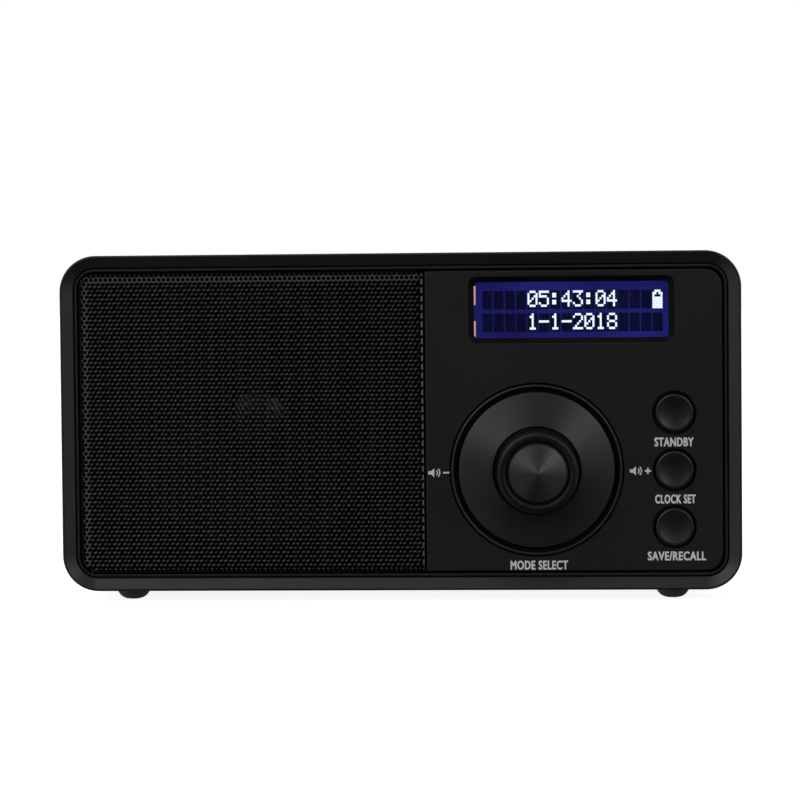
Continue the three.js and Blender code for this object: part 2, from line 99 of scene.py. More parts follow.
def ring(x0, z0, x1, z1, r, n=14):
    rs = r if isinstance(r, (list, tuple)) else [r] * 4
    pts = []
    for (cx, sx), (cz, sz), a0, q in (((x0, 1), (z0, 1), pi, rs[0]), ((x1, -1), (z0, 1), 1.5 * pi, rs[1]),
                                      ((x1, -1), (z1, -1), 0, rs[2]), ((x0, 1), (z1, -1), 0.5 * pi, rs[3])):
        q = max(q, 0.02)
        for i in range(n + 1):
            a = a0 + 0.5 * pi * i / n
            pts.append((cx + sx * q + q * cos(a), cz + sz * q + q * sin(a)))
    return pts


def case_ring(inset, r=None, n=14):
    r = max(9.3 - inset, 0.3) if r is None else r
    return ring(-W / 2 + inset, BOT + inset, W / 2 - inset, BOT + H - inset, r, n)


def circle(x, z, r, n=64):
    return [(x + r * cos(2 * pi * i / n), z + r * sin(2 * pi * i / n)) for i in range(n)]


def loft(name, loops, closed=False):
    """loops: [(points in XZ, depth)], all the same length. Capped unless closed on itself."""
    n = len(loops[0][0])
    verts = [(x, at(d), z) for pts, d in loops for x, z in pts]
    faces = []
    m = len(loops)
    for k in range(m if closed else m - 1):
        a, b = k * n, ((k + 1) % m) * n
        for i in range(n):
            j = (i + 1) % n
            faces.append((a + i, a + j, b + j, b + i))
    if not closed:
        faces.append(tuple(range(n)))
        faces.append(tuple((m - 1) * n + i for i in reversed(range(n))))
    return make(name, verts, faces)


def revolve(name, profile, origin=(0, 0, 0), axis="Y", n=96, closed=False):
    """profile: [(radius, height)]; on axis Y heights are depths from origin's y."""
    verts, rows = [], []
    for r, h in profile:
        if r < 1e-6:
            rows.append([len(verts)])
            verts.append((0, 0, h))
        else:
            rows.append(list(range(len(verts), len(verts) + n)))
            verts += [(r * cos(2 * pi * i / n), r * sin(2 * pi * i / n), h) for i in range(n)]
    faces = []
    m = len(rows)
    for k in range(m if closed else m - 1):
        a, b = rows[k], rows[(k + 1) % m]
        for i in range(n):
            j = (i + 1) % n
            if len(a) == 1 and len(b) == 1:
                continue
            if len(a) == 1:
                faces.append((a[0], b[j], b[i]))
            elif len(b) == 1:
                faces.append((a[i], a[j], b[0]))
            else:
                faces.append((a[i], a[j], b[j], b[i]))
    ox, oy, oz = origin
    if axis == "Y":
        verts = [(ox + x, oy + h, oz + y) for x, y, h in verts]
    elif axis == "X":
        verts = [(ox + h, oy + x, oz + y) for x, y, h in verts]
    else:
        verts = [(ox + x, oy + y, oz + h) for x, y, h in verts]
    return make(name, verts, faces)


def box(name, x0, x1, y0, y1, z0, z1):
    v = [(x, y, z) for x in (x0, x1) for y in (y0, y1) for z in (z0, z1)]
    f = [(0, 1, 3, 2), (4, 6, 7, 5), (0, 4, 5, 1), (2, 3, 7, 6), (0, 2, 6, 4), (1, 5, 7, 3)]
    return make(name, v, f)


def slab(name, pts, d0, d1):
    return loft(name, [(pts, d0), (pts, d1)])


def arc(cr, ch, r, a0, a1, n=6):
    """Points of a fillet, angles in degrees in the (radius, height) plane."""
    return [(cr + r * cos(math.radians(a0 + (a1 - a0) * i / n)), ch + r * sin(math.radians(a0 + (a1 - a0) * i / n))) for i in range(n + 1)]


def join(name, obs):
    bm = bmesh.new()
    for o in obs:
        bm.from_mesh(o.data)
    me = bpy.data.meshes.new(name)
    bm.to_mesh(me)
    bm.free()
    for o in obs:
        bpy.data.objects.remove(o)
    ob = bpy.data.objects.new(name, me)
    coll.objects.link(ob)
    return ob


def boolean(a, b, op="DIFFERENCE"):
    if isinstance(b, list):
        b = join("cutters", b) if len(b) > 1 else b[0]
    m = a.modifiers.new("b", "BOOLEAN")
    m.operation, m.object, m.solver = op, b, "EXACT"
    m.use_self = True
    bpy.context.view_layer.update()
    dg = bpy.context.evaluated_depsgraph_get()
    me = bpy.data.meshes.new_from_object(a.evaluated_get(dg))
    a.modifiers.clear()
    old = a.data
    a.data = me
    bpy.data.meshes.remove(old)
    bpy.data.objects.remove(b)
    bm = bmesh.new()
    bm.from_mesh(me)
    bmesh.ops.remove_doubles(bm, verts=bm.verts, dist=2e-7)
    bmesh.ops.dissolve_degenerate(bm, edges=bm.edges, dist=1e-7)
    bm.to_mesh(me)
    bm.free()
    return a


def smooth(ob, angle=32, weighted=True):
    me = ob.data
    me.shade_smooth()
    me.set_sharp_from_angle(angle=math.radians(angle))
    if weighted:
        m = ob.modifiers.new("normals", "WEIGHTED_NORMAL")
        m.keep_sharp = True
        m.weight = 60
    return ob


def dress(ob, body, material, replaces=(), angle=32, weighted=True, shaded=True):
    if shaded and ob.type == "MESH":
        smooth(ob, angle, weighted)
    ob.data.materials.clear()
    for m in material if isinstance(material, (list, tuple)) else [material]:
        ob.data.materials.append(m)
    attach(ob, body)
    if replaces:
        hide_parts(*replaces)
    return ob


# ---- materials -------------------------------------------------------------
class Nodes:
    def __init__(self, name):
        self.m = bpy.data.materials.new(name)
        self.m.use_nodes = True
        self.t = self.m.node_tree
        self.t.nodes.clear()
        self.out = self.t.nodes.new("ShaderNodeOutputMaterial")
        self.p = self.t.nodes.new("ShaderNodeBsdfPrincipled")
        self.link(self.p.outputs[0], self.out.inputs[0])
        self.coords = self.t.nodes.new("ShaderNodeTexCoord").outputs["Object"]

    def link(self, a, b):
        self.t.links.new(a, b)

    def set(self, **k):
        for name, v in k.items():
            self.p.inputs[name.replace("_", " ")].default_value = v
        return self

    def noise(self, scale, detail=3, rough=0.5, coords=None, distortion=0.0):
        n = self.t.nodes.new("ShaderNodeTexNoise")
        n.inputs["Scale"].default_value = scale
        n.inputs["Detail"].default_value = detail
        n.inputs["Roughness"].default_value = rough
        n.inputs["Distortion"].default_value = distortion
        self.link(coords or self.coords, n.inputs["Vector"])
        return n.outputs["Fac"]

    def voronoi(self, scale):
        n = self.t.nodes.new("ShaderNodeTexVoronoi")
        n.inputs["Scale"].default_value = scale
        self.link(self.coords, n.inputs["Vector"])
        return n.outputs["Distance"]

    def range(self, v, a, b, c0=0.3, c1=0.7):
        n = self.t.nodes.new("ShaderNodeMapRange")
        n.inputs["From Min"].default_value, n.inputs["From Max"].default_value = c0, c1
        n.inputs["To Min"].default_value, n.inputs["To Max"].default_value = a, b
        self.link(v, n.inputs["Value"])
        return n.outputs["Result"]

    def mix(self, fac, a, b):
        n = self.t.nodes.new("ShaderNodeMix")
        n.data_type = "RGBA"
        self.link(fac, n.inputs["Factor"])
        for s, v in ((n.inputs["A"], a), (n.inputs["B"], b)):
            if isinstance(v, (tuple, list)):
                s.default_value = (*v[:3], 1)
            else:
                self.link(v, s)
        return n.outputs["Result"]

    def math(self, op, a, b=None, c=None):
        n = self.t.nodes.new("ShaderNodeMath")
        n.operation = op
        for s, v in zip(n.inputs, (a, b, c)):
            if v is None:
                continue
            if isinstance(v, (int, float)):
                s.default_value = v
            else:
                self.link(v, s)
        return n.outputs[0]

    def bump(self, height, strength, distance, normal=None):
        n = self.t.nodes.new("ShaderNodeBump")
        n.inputs["Strength"].default_value = strength
        n.inputs["Distance"].default_value = distance
        self.link(height, n.inputs["Height"])
        if normal:
            self.link(normal, n.inputs["Normal"])
        return n.outputs["Normal"]

    def into(self, name, v):
        self.link(v, self.p.inputs[name])
        return self


def plastic(name, base, rough, spread=0.06, grain=5200, depth=0.00002, strength=0.25, spec=0.5, wear=0.25):
    k = Nodes(name).set(Specular_IOR_Level=spec)
    big = k.noise(38, 4, 0.6)
    fine = k.noise(grain, 2, 0.6)
    tone = [c * (1 - wear) for c in base], [c * (1 + wear) for c in base]
    k.into("Base Color", k.mix(k.range(k.noise(900, 3, 0.7), 0, 1), *tone))
    k.into("Roughness", k.math("ADD", k.range(big, rough - spread, rough + spread), k.range(fine, -0.03, 0.03)))
    k.into("Normal", k.bump(fine, strength, depth))
    return k.m


def radial_coords(k, ox, oz):
    """(radius in m, clock angle in radians) about the Y axis through (ox, oz)."""
    s = k.t.nodes.new("ShaderNodeSeparateXYZ")
    k.link(k.coords, s.inputs[0])
    x = k.math("SUBTRACT", s.outputs["X"], ox * MM)
    z = k.math("SUBTRACT", s.outputs["Z"], oz * MM)
    r = k.math("SQRT", k.math("ADD", k.math("MULTIPLY", x, x), k.math("MULTIPLY", z, z)))
    return r, k.math("ARCTAN2", z, x)


def spun(name, base, rough, aniso, metallic=1.0, groove=0.12, ox=0.0, oz=0.0, spec=0.5):
    """Turned finish: circular scratches about the dial's own axis, so highlights fan out as sectors."""
    k = Nodes(name).set(Metallic=metallic, Anisotropic=aniso, Anisotropic_Rotation=0.25, Specular_IOR_Level=spec)
    r, _ = radial_coords(k, ox, oz)
    c = k.t.nodes.new("ShaderNodeCombineXYZ")
    k.link(r, c.inputs["X"])
    fine = k.noise(26000, 3, 0.65, coords=c.outputs[0])
    coarse = k.noise(5200, 3, 0.6, coords=c.outputs[0])
    k.into("Base Color", k.mix(k.range(coarse, 0, 1), [v * 0.8 for v in base], [v * 1.2 for v in base]))
    k.into("Roughness", k.range(fine, rough - 0.05, rough + 0.05))
    t = k.t.nodes.new("ShaderNodeTangent")
    t.direction_type, t.axis = "RADIAL", "Y"
    k.link(t.outputs[0], k.p.inputs["Tangent"])
    k.into("Normal", k.bump(fine, groove, 0.00001))
    return k.m


def metal(name, base, rough, spread=0.04, scale=120, brushed=None):
    k = Nodes(name).set(Metallic=1.0)
    k.into("Base Color", k.mix(k.range(k.noise(scale, 4, 0.6), 0, 1), [v * 0.9 for v in base], [min(v * 1.07, 1) for v in base]))
    k.into("Roughness", k.range(k.noise(scale * 3, 4, 0.7), rough - spread, rough + spread))
    k.into("Normal", k.bump(k.noise(3800, 2, 0.6), 0.08, 0.00001))
    return k.m


def glow(name, colour, strength, base=(0.002, 0.002, 0.004), vary=0.0, scale=60):
    k = Nodes(name).set(Roughness=0.5, Emission_Strength=strength, Specular_IOR_Level=0.1)
    k.into("Base Color", k.mix(k.range(k.noise(400, 2), 0, 1), base, [b * 1.2 for b in base]))
    n = k.range(k.noise(scale, 2, 0.5), 0, 1)
    k.into("Emission Color", k.mix(n, [c * (1 - vary) for c in colour], [c * (1 + vary) for c in colour]))
    return k.m


CASE = plastic("case_plastic", (0.0115, 0.0117, 0.012), 0.36, grain=5600, strength=0.16, spec=0.46)
PANEL = plastic("panel_plastic", (0.0078, 0.0079, 0.0081), 0.52, grain=6400, strength=0.3, spec=0.36)
BAFFLE = plastic("baffle_plastic", (0.010, 0.010, 0.0105), 0.5, strength=0.2, spec=0.45)
GRILLE = plastic("grille_paint", (0.0035, 0.0036, 0.0038), 0.22, grain=9000, strength=0.08, spec=0.32)
KNOB = plastic("knob_plastic", (0.0045, 0.0045, 0.0048), 0.42, grain=7000, strength=0.08, spec=0.3)
BUTTON = plastic("button_plastic", (0.013, 0.0132, 0.0135), 0.3, grain=6400, strength=0.12, spec=0.5)
DISC = spun("spun_disc", (0.07, 0.0705, 0.0725), 0.40, 0.9, 0.8, 0.04, DX, DZ)
CAP = spun("spun_cap", (0.28, 0.282, 0.288), 0.24, 0.9, 1.0, 0.05, DX, DZ)
# painted shade: near-black plastic, darker than the panel and baffle plastic, laid on recess walls and well floors
# where shade falls
RECESS_SHADE = plastic("recess_painted_shade", (0.0015, 0.0015, 0.0016), 0.6, strength=0.1, spec=0.12)
LIP = plastic("lip_plastic", (0.016, 0.0165, 0.017), 0.32, strength=0.1)
RUBBER = plastic("foot_rubber", (0.06, 0.06, 0.061), 0.62, spread=0.08, grain=2600, strength=0.35, spec=0.35)
PAPER = plastic("cone_paper", (0.012, 0.012, 0.012), 0.6, grain=1800, strength=0.5, spec=0.3)
FOAM = plastic("surround_rubber", (0.008, 0.008, 0.008), 0.5, grain=3000, strength=0.3, spec=0.4)
DOME = plastic("dust_cap", (0.012, 0.012, 0.012), 0.13, grain=4200, strength=0.05, spec=0.6)
CHROME = metal("antenna_chrome", (0.62, 0.63, 0.65), 0.13)
FITTING = metal("antenna_fitting", (0.42, 0.43, 0.44), 0.26)
STEEL = metal("plated_steel", (0.5, 0.5, 0.5), 0.3)
DARKSTEEL = metal("black_oxide_steel", (0.12, 0.12, 0.125), 0.38)
GOLD = metal("contact_gold", (0.75, 0.56, 0.25), 0.25)
INK = plastic("legend_ink", (0.78, 0.79, 0.8), 0.55, wear=0.04, strength=0.1)
FERRITE = plastic("ferrite", (0.03, 0.03, 0.032), 0.65, grain=1500, strength=0.6)
WRAP = plastic("cell_sleeve", (0.05, 0.16, 0.42), 0.3, wear=0.1)
BOARD = plastic("solder_mask", (0.012, 0.085, 0.04), 0.3, grain=900, strength=0.2, wear=0.2)
DIFFUSER = plastic("white_diffuser", (0.8, 0.82, 0.85), 0.5, wear=0.03)

BLUE = glow("lcd_blue", (0.0105, 0.0105, 0.122), 1.0, vary=0.35, scale=55)
CELL = glow("lcd_cell", (0.0016, 0.0018, 0.021), 1.0, vary=0.3, scale=90)
LIT = glow("lcd_dot_lit", (0.80, 0.88, 1.0), 1.25, vary=0.03)
LEAK = glow("lcd_edge_light", (0.85, 0.52, 0.38), 0.7, vary=0.15, scale=500)

lens = Nodes("lens_acrylic").set(Transmission_Weight=1.0, IOR=1.22, Specular_IOR_Level=0.4)
lens.into("Base Color", lens.mix(lens.range(lens.noise(60, 2), 0, 1), (0.93, 0.94, 0.97), (0.97, 0.98, 1.0)))
lens.into("Roughness", lens.range(lens.noise(300, 3), 0.0, 0.03))
LENS = lens.m

# ---- front shell -----------------------------------------------------------
profile = [(0.30, 36.0), (0.09, 35.9), (0.0, 35.7), (0.0, 12.0), (0.0, -1.05)]
f = 0.45
for i in range(1, 9):
    a = math.radians(128.7 * i / 8)
    profile.append((f - f * cos(a), RIDGE + f - f * sin(a)))
rim_end = (3.02, 0.33)
profile += [rim_end, (3.1, 0.42), (3.15, 0.55), (3.15, 0.9), (WALL, 0.9), (WALL, 36.0)]
radii = {3.02: 5.8, 3.1: 5.73, 3.15: 5.7}
shell = loft("front_shell_skin", [(case_ring(i, radii.get(i, None)), d) for i, d in profile], closed=True)
fx, fy, _ = centre("foot_front_left")
foot_cut = [revolve("c", [(0, BOT - 0.5), (6.4, BOT - 0.5), (6.4, BOT + 0.8), (0, BOT + 0.8)], (s * abs(fx), fy, 0), "Z", 64) for s in (-1, 1)]
boolean(shell, foot_cut)
dress(shell, "root", CASE, ["front_shell"])

# ---- rear cover ------------------------------------------------------------
def back_loops(ringf, d_end, r=1.6, n=6):
    out = []
    for i in range(n + 1):
        a = 0.5 * pi * i / n
        out.append((ringf(r - r * cos(a)), d_end - r + r * sin(a)))
    return out


def lower_ring(inset, top=0.0):
    q = max(9.3 - inset, 0.3)
    return ring(-W / 2 + inset, BOT + inset, W / 2 - inset, CZ + STEP_UP - inset, [q, q, 0.5, 0.5])


upper = loft("rear_cover_skin", [(case_ring(0.3), 36.3), (case_ring(0.09), 36.4), (case_ring(0), 36.6)] + back_loops(case_ring, STEP_D, 1.2))
lower = loft("lower", [(lower_ring(0.4), 37.4), (lower_ring(0.0), 38.2)] + back_loops(lower_ring, BACK, 1.6))
cover = boolean(upper, lower, "UNION")
cav = slab("cav", case_ring(WALL), 36.0, STEP_D - WALL)
q = 9.3 - WALL
cav2 = slab("cav2", ring(-W / 2 + WALL, BOT + WALL, W / 2 - WALL, CZ + STEP_UP - WALL, [q, q, 0.5, 0.5]), 36.0, BACK - WALL)
cav = boolean(cav, cav2, "UNION")
cover = boolean(cover, cav)
bosses, cuts = [], []
for s in (-1, 1):
    for t in (-1, 1):
        x, z = s * 79.0, CZ + t * 34.9
        wall = BACK if t < 0 else STEP_D
        bosses.append(slab("b", circle(x, z, 4.4, 48), wall - 6.5, wall - 1))
        cuts.append(revolve("c", [(0, wall - 8), (1.5, wall - 8), (1.5, wall - 3.5), (3.1, wall - 3.5), (3.1, wall - 0.3), (3.4, wall + 0.001), (3.4, wall + 1), (0, wall + 1)],
                            (x, PANEL_Y, z), "Y", 48))
tongue = loft("t", [(case_ring(2.5), 32.5), (case_ring(2.5), 36.6), (case_ring(2.0), 36.6), (case_ring(2.0), 38.0),
                    (case_ring(4.3), 38.0), (case_ring(4.3), 32.5)], closed=True)
cover = boolean(cover, tongue, "UNION")
cover = boolean(cover, join("bosses", bosses), "UNION")
cover = boolean(cover, box("bay", 8, 80, at(28), at(BACK - 1), 19, 43), "UNION")
cover = boolean(cover, box("pad", 5, 83, at(BACK - 4), at(BACK - 1), 16, 46), "UNION")
cuts.append(slab("door_seat", ring(BX0 - 0.3, BZ0 - 0.3, BX1 + 0.3, BZ1 + 0.3, 1.4, 8), BACK - 1.8, BACK + 1))
cuts.append(slab("thumb", circle((BX0 + BX1) / 2, BZ1 + 0.3, 5, 48), BACK - 1.2, BACK + 1))
cover = boolean(cover, box("bay_in", 9.5, 78.5, at(29.5), at(BACK + 1), 20.5, 41.5))
jx, _, jz = centre("headphone_jack")
ux, _, uz = centre("charge_socket")
cuts.append(revolve("j", [(0, BACK - 4), (3.3, BACK - 4), (3.3, BACK - 0.3), (3.7, BACK + 0.001), (3.7, BACK + 1), (0, BACK + 1)], (jx, PANEL_Y, jz), "Y", 48))
cuts.append(loft("u", [(ring(ux - 4.8 - e, uz - 1.95 - e, ux + 4.8 + e, uz + 1.95 + e, 1.9 + e, 10), d) for e, d in ((0, BACK - 4), (0, BACK - 0.35), (0.4, BACK + 0.001), (0.4, BACK + 1))]))
cuts.append(slab("a", circle(AX, AZ, 3.3, 48), STEP_D - 3, STEP_D + 1))
_, ry, _ = centre("foot_rear_left")
cuts += [revolve("c", [(0, BOT - 0.5), (6.4, BOT - 0.5), (6.4, BOT + 0.8), (0, BOT + 0.8)], (s * abs(fx), ry, 0), "Z", 64) for s in (-1, 1)]
for c in cuts:
    cover = boolean(cover, c)
dress(cover, "root", CASE, ["rear_cover"])

# battery door, with a grip of raised ribs
door = loft("battery_door_skin", [(ring(BX0, BZ0, BX1, BZ1, 1.1, 8), BACK - 1.5)] + [(ring(BX0 + e, BZ0 + e, BX1 - e, BZ1 - e, 1.1, 8), BACK + d) for e, d in ((0, -0.35), (0.1, -0.1), (0.35, 0))])
mx = (BX0 + BX1) / 2
door = boolean(door, slab("g", ring(mx - 10, BZ1 - 9.5, mx + 10, BZ1 - 2.2, 3.2, 10), BACK - 0.7, BACK + 1))
ribs = [loft("r", [(ring(mx - 8, BZ1 - 8.2 + 1.6 * i, mx + 8, BZ1 - 7.6 + 1.6 * i, 0.28, 6), BACK - 0.9), (ring(mx - 7.9, BZ1 - 8.1 + 1.6 * i, mx + 7.9, BZ1 - 7.7 + 1.6 * i, 0.2, 6), BACK - 0.15)]) for i in range(4)]
door = boolean(door, ribs, "UNION")
dress(door, "door", CASE, ["battery_door"])

# ---- front baffle with its ledge -------------------------------------------
ledge = [(case_ring(3.45, 5.4), 4.3), (case_ring(3.45, 5.4), 0.75), (case_ring(3.5, 5.35), 0.64), (case_ring(3.6, 5.25), 0.6),
         (case_ring(4.0, 4.5), 0.6), (case_ring(4.08, 4.42), 0.64), (case_ring(4.1, 4.4), 0.72), (case_ring(4.1, 4.4), 2.3),
         (case_ring(12.0, 0.5), 2.3), (case_ring(12.0, 0.5), 4.3)]
baffle = loft("front_baffle_skin", ledge, closed=True)
flange = loft("fl", [(case_ring(2.5), 1.2), (case_ring(2.5), 4.3), (case_ring(3.6, 5.2), 4.3), (case_ring(3.6, 5.2), 1.2)], closed=True)
baffle = boolean(baffle, flange, "UNION")
baffle = boolean(baffle, slab("mid", case_ring(11.9, 0.5), 2.3, 4.3), "UNION")
holes = [slab("h", circle(SX, SZ, 34.5, 128), 1.5, 6), slab("h", ring(LX - 29.3, LZ - 9.8, LX + 29.3, LZ + 9.8, 0.5, 4), 1.5, 6), slab("h", circle(DX, DZ, 6.6, 48), 1.5, 6)]
for nm in ("power", "clock", "memory"):
    bx, _, bz = centre(nm + "_button")
    holes.append(slab("h", circle(bx, bz, 6.9, 48), 1.5, 6))
for h in holes:
    baffle = boolean(baffle, h)
dress(baffle, "root", [BAFFLE, RECESS_SHADE], ["front_baffle"])
# painted shade: baffle faces more than 1 mm behind the front get the near-black recess colour
for pol in baffle.data.polygons:
    pol.material_index = 1 if pol.center.y / MM > at(1.0) else 0

# ---- control panel ---------------------------------------------------------
def panel_ring(e):
    return ring(PX0 + e, PZ0 + e, PX1 - e, PZ1 - e, [0.5, 4.6 - e, 4.6 - e, 0.5], 14)


panel = loft("control_panel_skin", [(panel_ring(0), 2.0)] + [(panel_ring(0.38 - 0.38 * sin(a)), 0.38 - 0.38 * cos(a)) for a in [0.5 * pi * (1 - i / 5) for i in range(6)]])
panel = boolean(panel, loft("w", [(ring(LX - 24.95 - e, LZ - 7.2 - e * 0.95, LX + 24.95 + e, LZ + 7.2 + e * 0.95, 1.25 + e * 0.6, 10), d)
                                 for e, d in ((1.75, -1.0), (1.75, -0.04), (1.45, 0.06), (0.0, 1.25), (0.0, 3))]))
panel = boolean(panel, slab("w", ring(LX - 27.15, LZ - 9.4, LX + 27.15, LZ + 9.4, 0.5, 4), 1.35, 3))
panel = boolean(panel, loft("w", [(circle(DX, DZ, 22.5, 160), -1), (circle(DX, DZ, 22.5, 160), -0.001), (circle(DX, DZ, 22.3, 160), 0.2), (circle(DX, DZ, 22.3, 160), 3)]))
for nm in ("power", "clock", "memory"):
    bx, _, bz = centre(nm + "_button")
    panel = boolean(panel, loft("w", [(circle(bx, bz, 5.7, 96), -1), (circle(bx, bz, 5.7, 96), -0.001), (circle(bx, bz, 5.54, 96), 0.16), (circle(bx, bz, 5.54, 96), 3)]))
dress(panel, "root", [PANEL, RECESS_SHADE], ["control_panel"])
# painted shade: the LCD recess walls and the dial opening's walls get the near-black recess colour
for pol in panel.data.polygons:
    c = pol.center
    inside = abs(c.x / MM - LX) < 27.0 and abs(c.z / MM - LZ) < 9.2 and c.y / MM > at(0.1)
    pol.material_index = 1 if inside or (math.hypot(c.x / MM - DX, c.z / MM - DZ) < 22.6 and c.y / MM > at(0.15)) else 0

# ---- perforated grille -----------------------------------------------------
def make_grille():
    bend, skirt, thick, hole, px, pz, sides = 0.8, 0.75, 0.55, 0.495, 1.256, 1.095, 8
    fx0, fx1, fz0, fz1 = GX0 + bend, GX1 - bend, GZ0 + bend, GZ1 - bend
    rl = 3.1  # corner radius of the flat part on the left, square on the right
    reach = bend * pi / 2 + skirt

    def off(x, z):
        """Signed distance outside the flat part, with the outward direction."""
        left = x < fx0 + rl and (z < fz0 + rl or z > fz1 - rl)
        if left:
            cx, cz = fx0 + rl, (fz0 + rl if z < fz0 + rl else fz1 - rl)
            dx, dz = x - cx, z - cz
            q = math.hypot(dx, dz)
            if q > 1e-9:
                return q - rl, dx / q, dz / q
        nx, nz = min(max(x, fx0), fx1), min(max(z, fz0), fz1)
        dx, dz = x - nx, z - nz
        q = math.hypot(dx, dz)
        if q > 1e-9:
            return q, dx / q, dz / q
        return -min(x - fx0, fx1 - x, z - fz0, fz1 - z), 0.0, 0.0

    pts, edges, holes = [], [], {}
    outline = []
    for cx, cz, a0, r in ((fx0 + rl, fz0 + rl, pi, rl + reach), (fx1, fz0, 1.5 * pi, reach), (fx1, fz1, 0, reach), (fx0 + rl, fz1 - rl, 0.5 * pi, rl + reach)):
        for i in range(13):
            a = a0 + 0.5 * pi * i / 12
            outline.append((cx + r * cos(a), cz + r * sin(a)))
    full = []
    for i, (x, z) in enumerate(outline):
        x2, z2 = outline[(i + 1) % len(outline)]
        n = max(1, int(math.hypot(x2 - x, z2 - z) / 1.25))
        full += [(x + (x2 - x) * j / n, z + (z2 - z) * j / n) for j in range(n)]
    pts += full
    edges += [(i, (i + 1) % len(full)) for i in range(len(full))]
    zt, xl = GZ1 - 1.7, GX0 + 0.9
    rows = int((GZ1 - GZ0) / pz) + 6
    cols = int((GX1 - GX0) / px) + 8
    spots = []
    for k in range(-3, rows):
        for j in range(-3, cols):
            x, z = xl + px * j + (0.5 * px if k % 2 else 0), zt - pz * k
            s, _, _ = off(x, z)
            if s > bend * pi / 2 - 0.1 or x > fx1 + 0.75:
                continue
            base = len(pts)
            spots.append((x, z, base))
            pts += [(x + hole * cos(2 * pi * (i + 0.5) / sides), z + hole * sin(2 * pi * (i + 0.5) / sides)) for i in range(sides)]
            edges += [(base + i, base + (i + 1) % sides) for i in range(sides)]
    # bend lines, so that the sheet folds cleanly
    near = {}
    for x, z, _ in spots:
        near.setdefault((int(x // 2), int(z // 2)), []).append((x, z))
    for s in (0.0, 0.3, 0.6, 0.92, bend * pi / 2):
        loop = []
        for cx, cz, a0, r in ((fx0 + rl, fz0 + rl, pi, rl + s), (fx1, fz0, 1.5 * pi, s), (fx1, fz1, 0, s), (fx0 + rl, fz1 - rl, 0.5 * pi, rl + s)):
            loop += [(cx + r * cos(a0 + 0.5 * pi * i / 8), cz + r * sin(a0 + 0.5 * pi * i / 8)) for i in range(9)]
        for i, (x, z) in enumerate(loop):
            x2, z2 = loop[(i + 1) % len(loop)]
            n = max(1, int(math.hypot(x2 - x, z2 - z) / 0.33))
            for j in range(n):
                ax, az = x + (x2 - x) * j / n, z + (z2 - z) * j / n
                gx, gz = int(ax // 2), int(az // 2)
                if all((ax - bx) ** 2 + (az - bz) ** 2 > (hole + 0.05) ** 2 for a in (-1, 0, 1) for b in (-1, 0, 1) for bx, bz in near.get((gx + a, gz + b), ())):
                    pts.append((ax, az))
    v, _, tri, vo, _, _ = delaunay_2d_cdt([Vector(p) for p in pts], edges, [], 1, 1e-5, True)
    grid = {}
    for x, z, _ in spots:
        grid.setdefault((int(x // 2), int(z // 2)), []).append((x, z))
    keep = []
    lim = (hole * 0.9) ** 2
    for t in tri:
        cx = sum(v[i][0] for i in t) / len(t)
        cz = sum(v[i][1] for i in t) / len(t)
        gx, gz = int(cx // 2), int(cz // 2)
        if any((cx - x) ** 2 + (cz - z) ** 2 < lim for a in (-1, 0, 1) for b in (-1, 0, 1) for x, z in grid.get((gx + a, gz + b), ())):
            continue
        if off(cx, cz)[0] > reach + 1e-6:
            continue
        keep.append(t)
    front, back, normals = [], [], []
    for p in v:
        s, nx, nz = off(p[0], p[1])
        if s <= 0:
            front.append((p[0], at(0.0), p[1]))
            back.append((p[0], at(thick), p[1]))
            normals.append((0, -1, 0))
            continue
        a = min(s / bend, pi / 2)
        extra = max(0.0, s - bend * pi / 2)
        ex, ez = p[0] - nx * s, p[1] - nz * s
        for store, r in ((front, bend), (back, bend - thick)):
            store.append((ex + nx * r * sin(a), at(bend - r * cos(a) + extra), ez + nz * r * sin(a)))
        normals.append((nx * sin(a), -cos(a), nz * sin(a)))
    n = len(v)
    faces = [tuple(t) for t in keep] + [tuple(n + i for i in reversed(t)) for t in keep]
    count = {}
    for t in keep:
        for i in range(len(t)):
            a, b = t[i], t[(i + 1) % len(t)]
            count[(a, b)] = count.get((a, b), 0) + 1
    rim = [(a, b) for (a, b) in count if (b, a) not in count]
    faces += [(b, a, n + a, n + b) for a, b in rim]
    me = bpy.data.meshes.new("grille")
    me.from_pydata([(x * MM, y * MM, z * MM) for x, y, z in front + back], [], faces)
    me.validate()
    # the webs stay flat: the shading normals of those that rise to the right lean towards the upper left, as if rolled
    # over, the others shade flat
    hole_of = {}
    for hi_, (x, z, base) in enumerate(spots):
        for i in range(sides):
            hole_of[base + i] = hi_
    owner = [hole_of.get(vo[i][0], -1) if vo[i] else -1 for i in range(n)]
    ux, uz, lean, soft = -0.5, 0.866, 0.6, 0.06
    lit = [abs(z - zt) < 0.01 or (x < fx0 + 0.75 and z < zt) for x, z, _ in spots]
    me.shade_smooth()
    loop_n = []
    walls = 2 * len(keep)
    for pi_, poly in enumerate(me.polygons):
        ids = list(poly.vertices)
        if pi_ < len(keep):
            own = sorted({owner[i] for i in ids})
            k = soft
            if own[0] < 0:
                k = 0.0
                if all(fx1 + 0.1 < v[i][0] < fx1 + 0.95 and fz0 < v[i][1] < fz1 for i in ids):
                    loop_n += [Vector((0.34, -1.0, 0.29)).normalized()] * len(ids)
                    continue
            elif any(lit[i] for i in own):
                k = lean if len(own) == 2 else 0.3
            elif len(own) == 2:
                a_, b_ = spots[own[0]], spots[own[1]]
                dx, dz = b_[0] - a_[0], b_[1] - a_[1]
                k = lean if abs(dx * ux + dz * uz) > 0.9 * math.hypot(dx, dz) else 0.0
            for i in ids:
                nx, ny, nz = normals[i]
                loop_n.append(Vector((nx + k * ux, ny, nz + k * uz)).normalized())
        else:
            w = Vector((0, 1, 0)) if pi_ < walls else poly.normal.copy()
            loop_n += [w] * len(ids)
    me.normals_split_custom_set(loop_n)
    ob = bpy.data.objects.new("speaker_grille_mesh", me)
    coll.objects.link(ob)
    print("grille", len(spots), "holes", len(me.polygons), "faces")
    return ob


grille = make_grille()
dress(grille, "root", GRILLE, ["speaker_grille"], shaded=False)

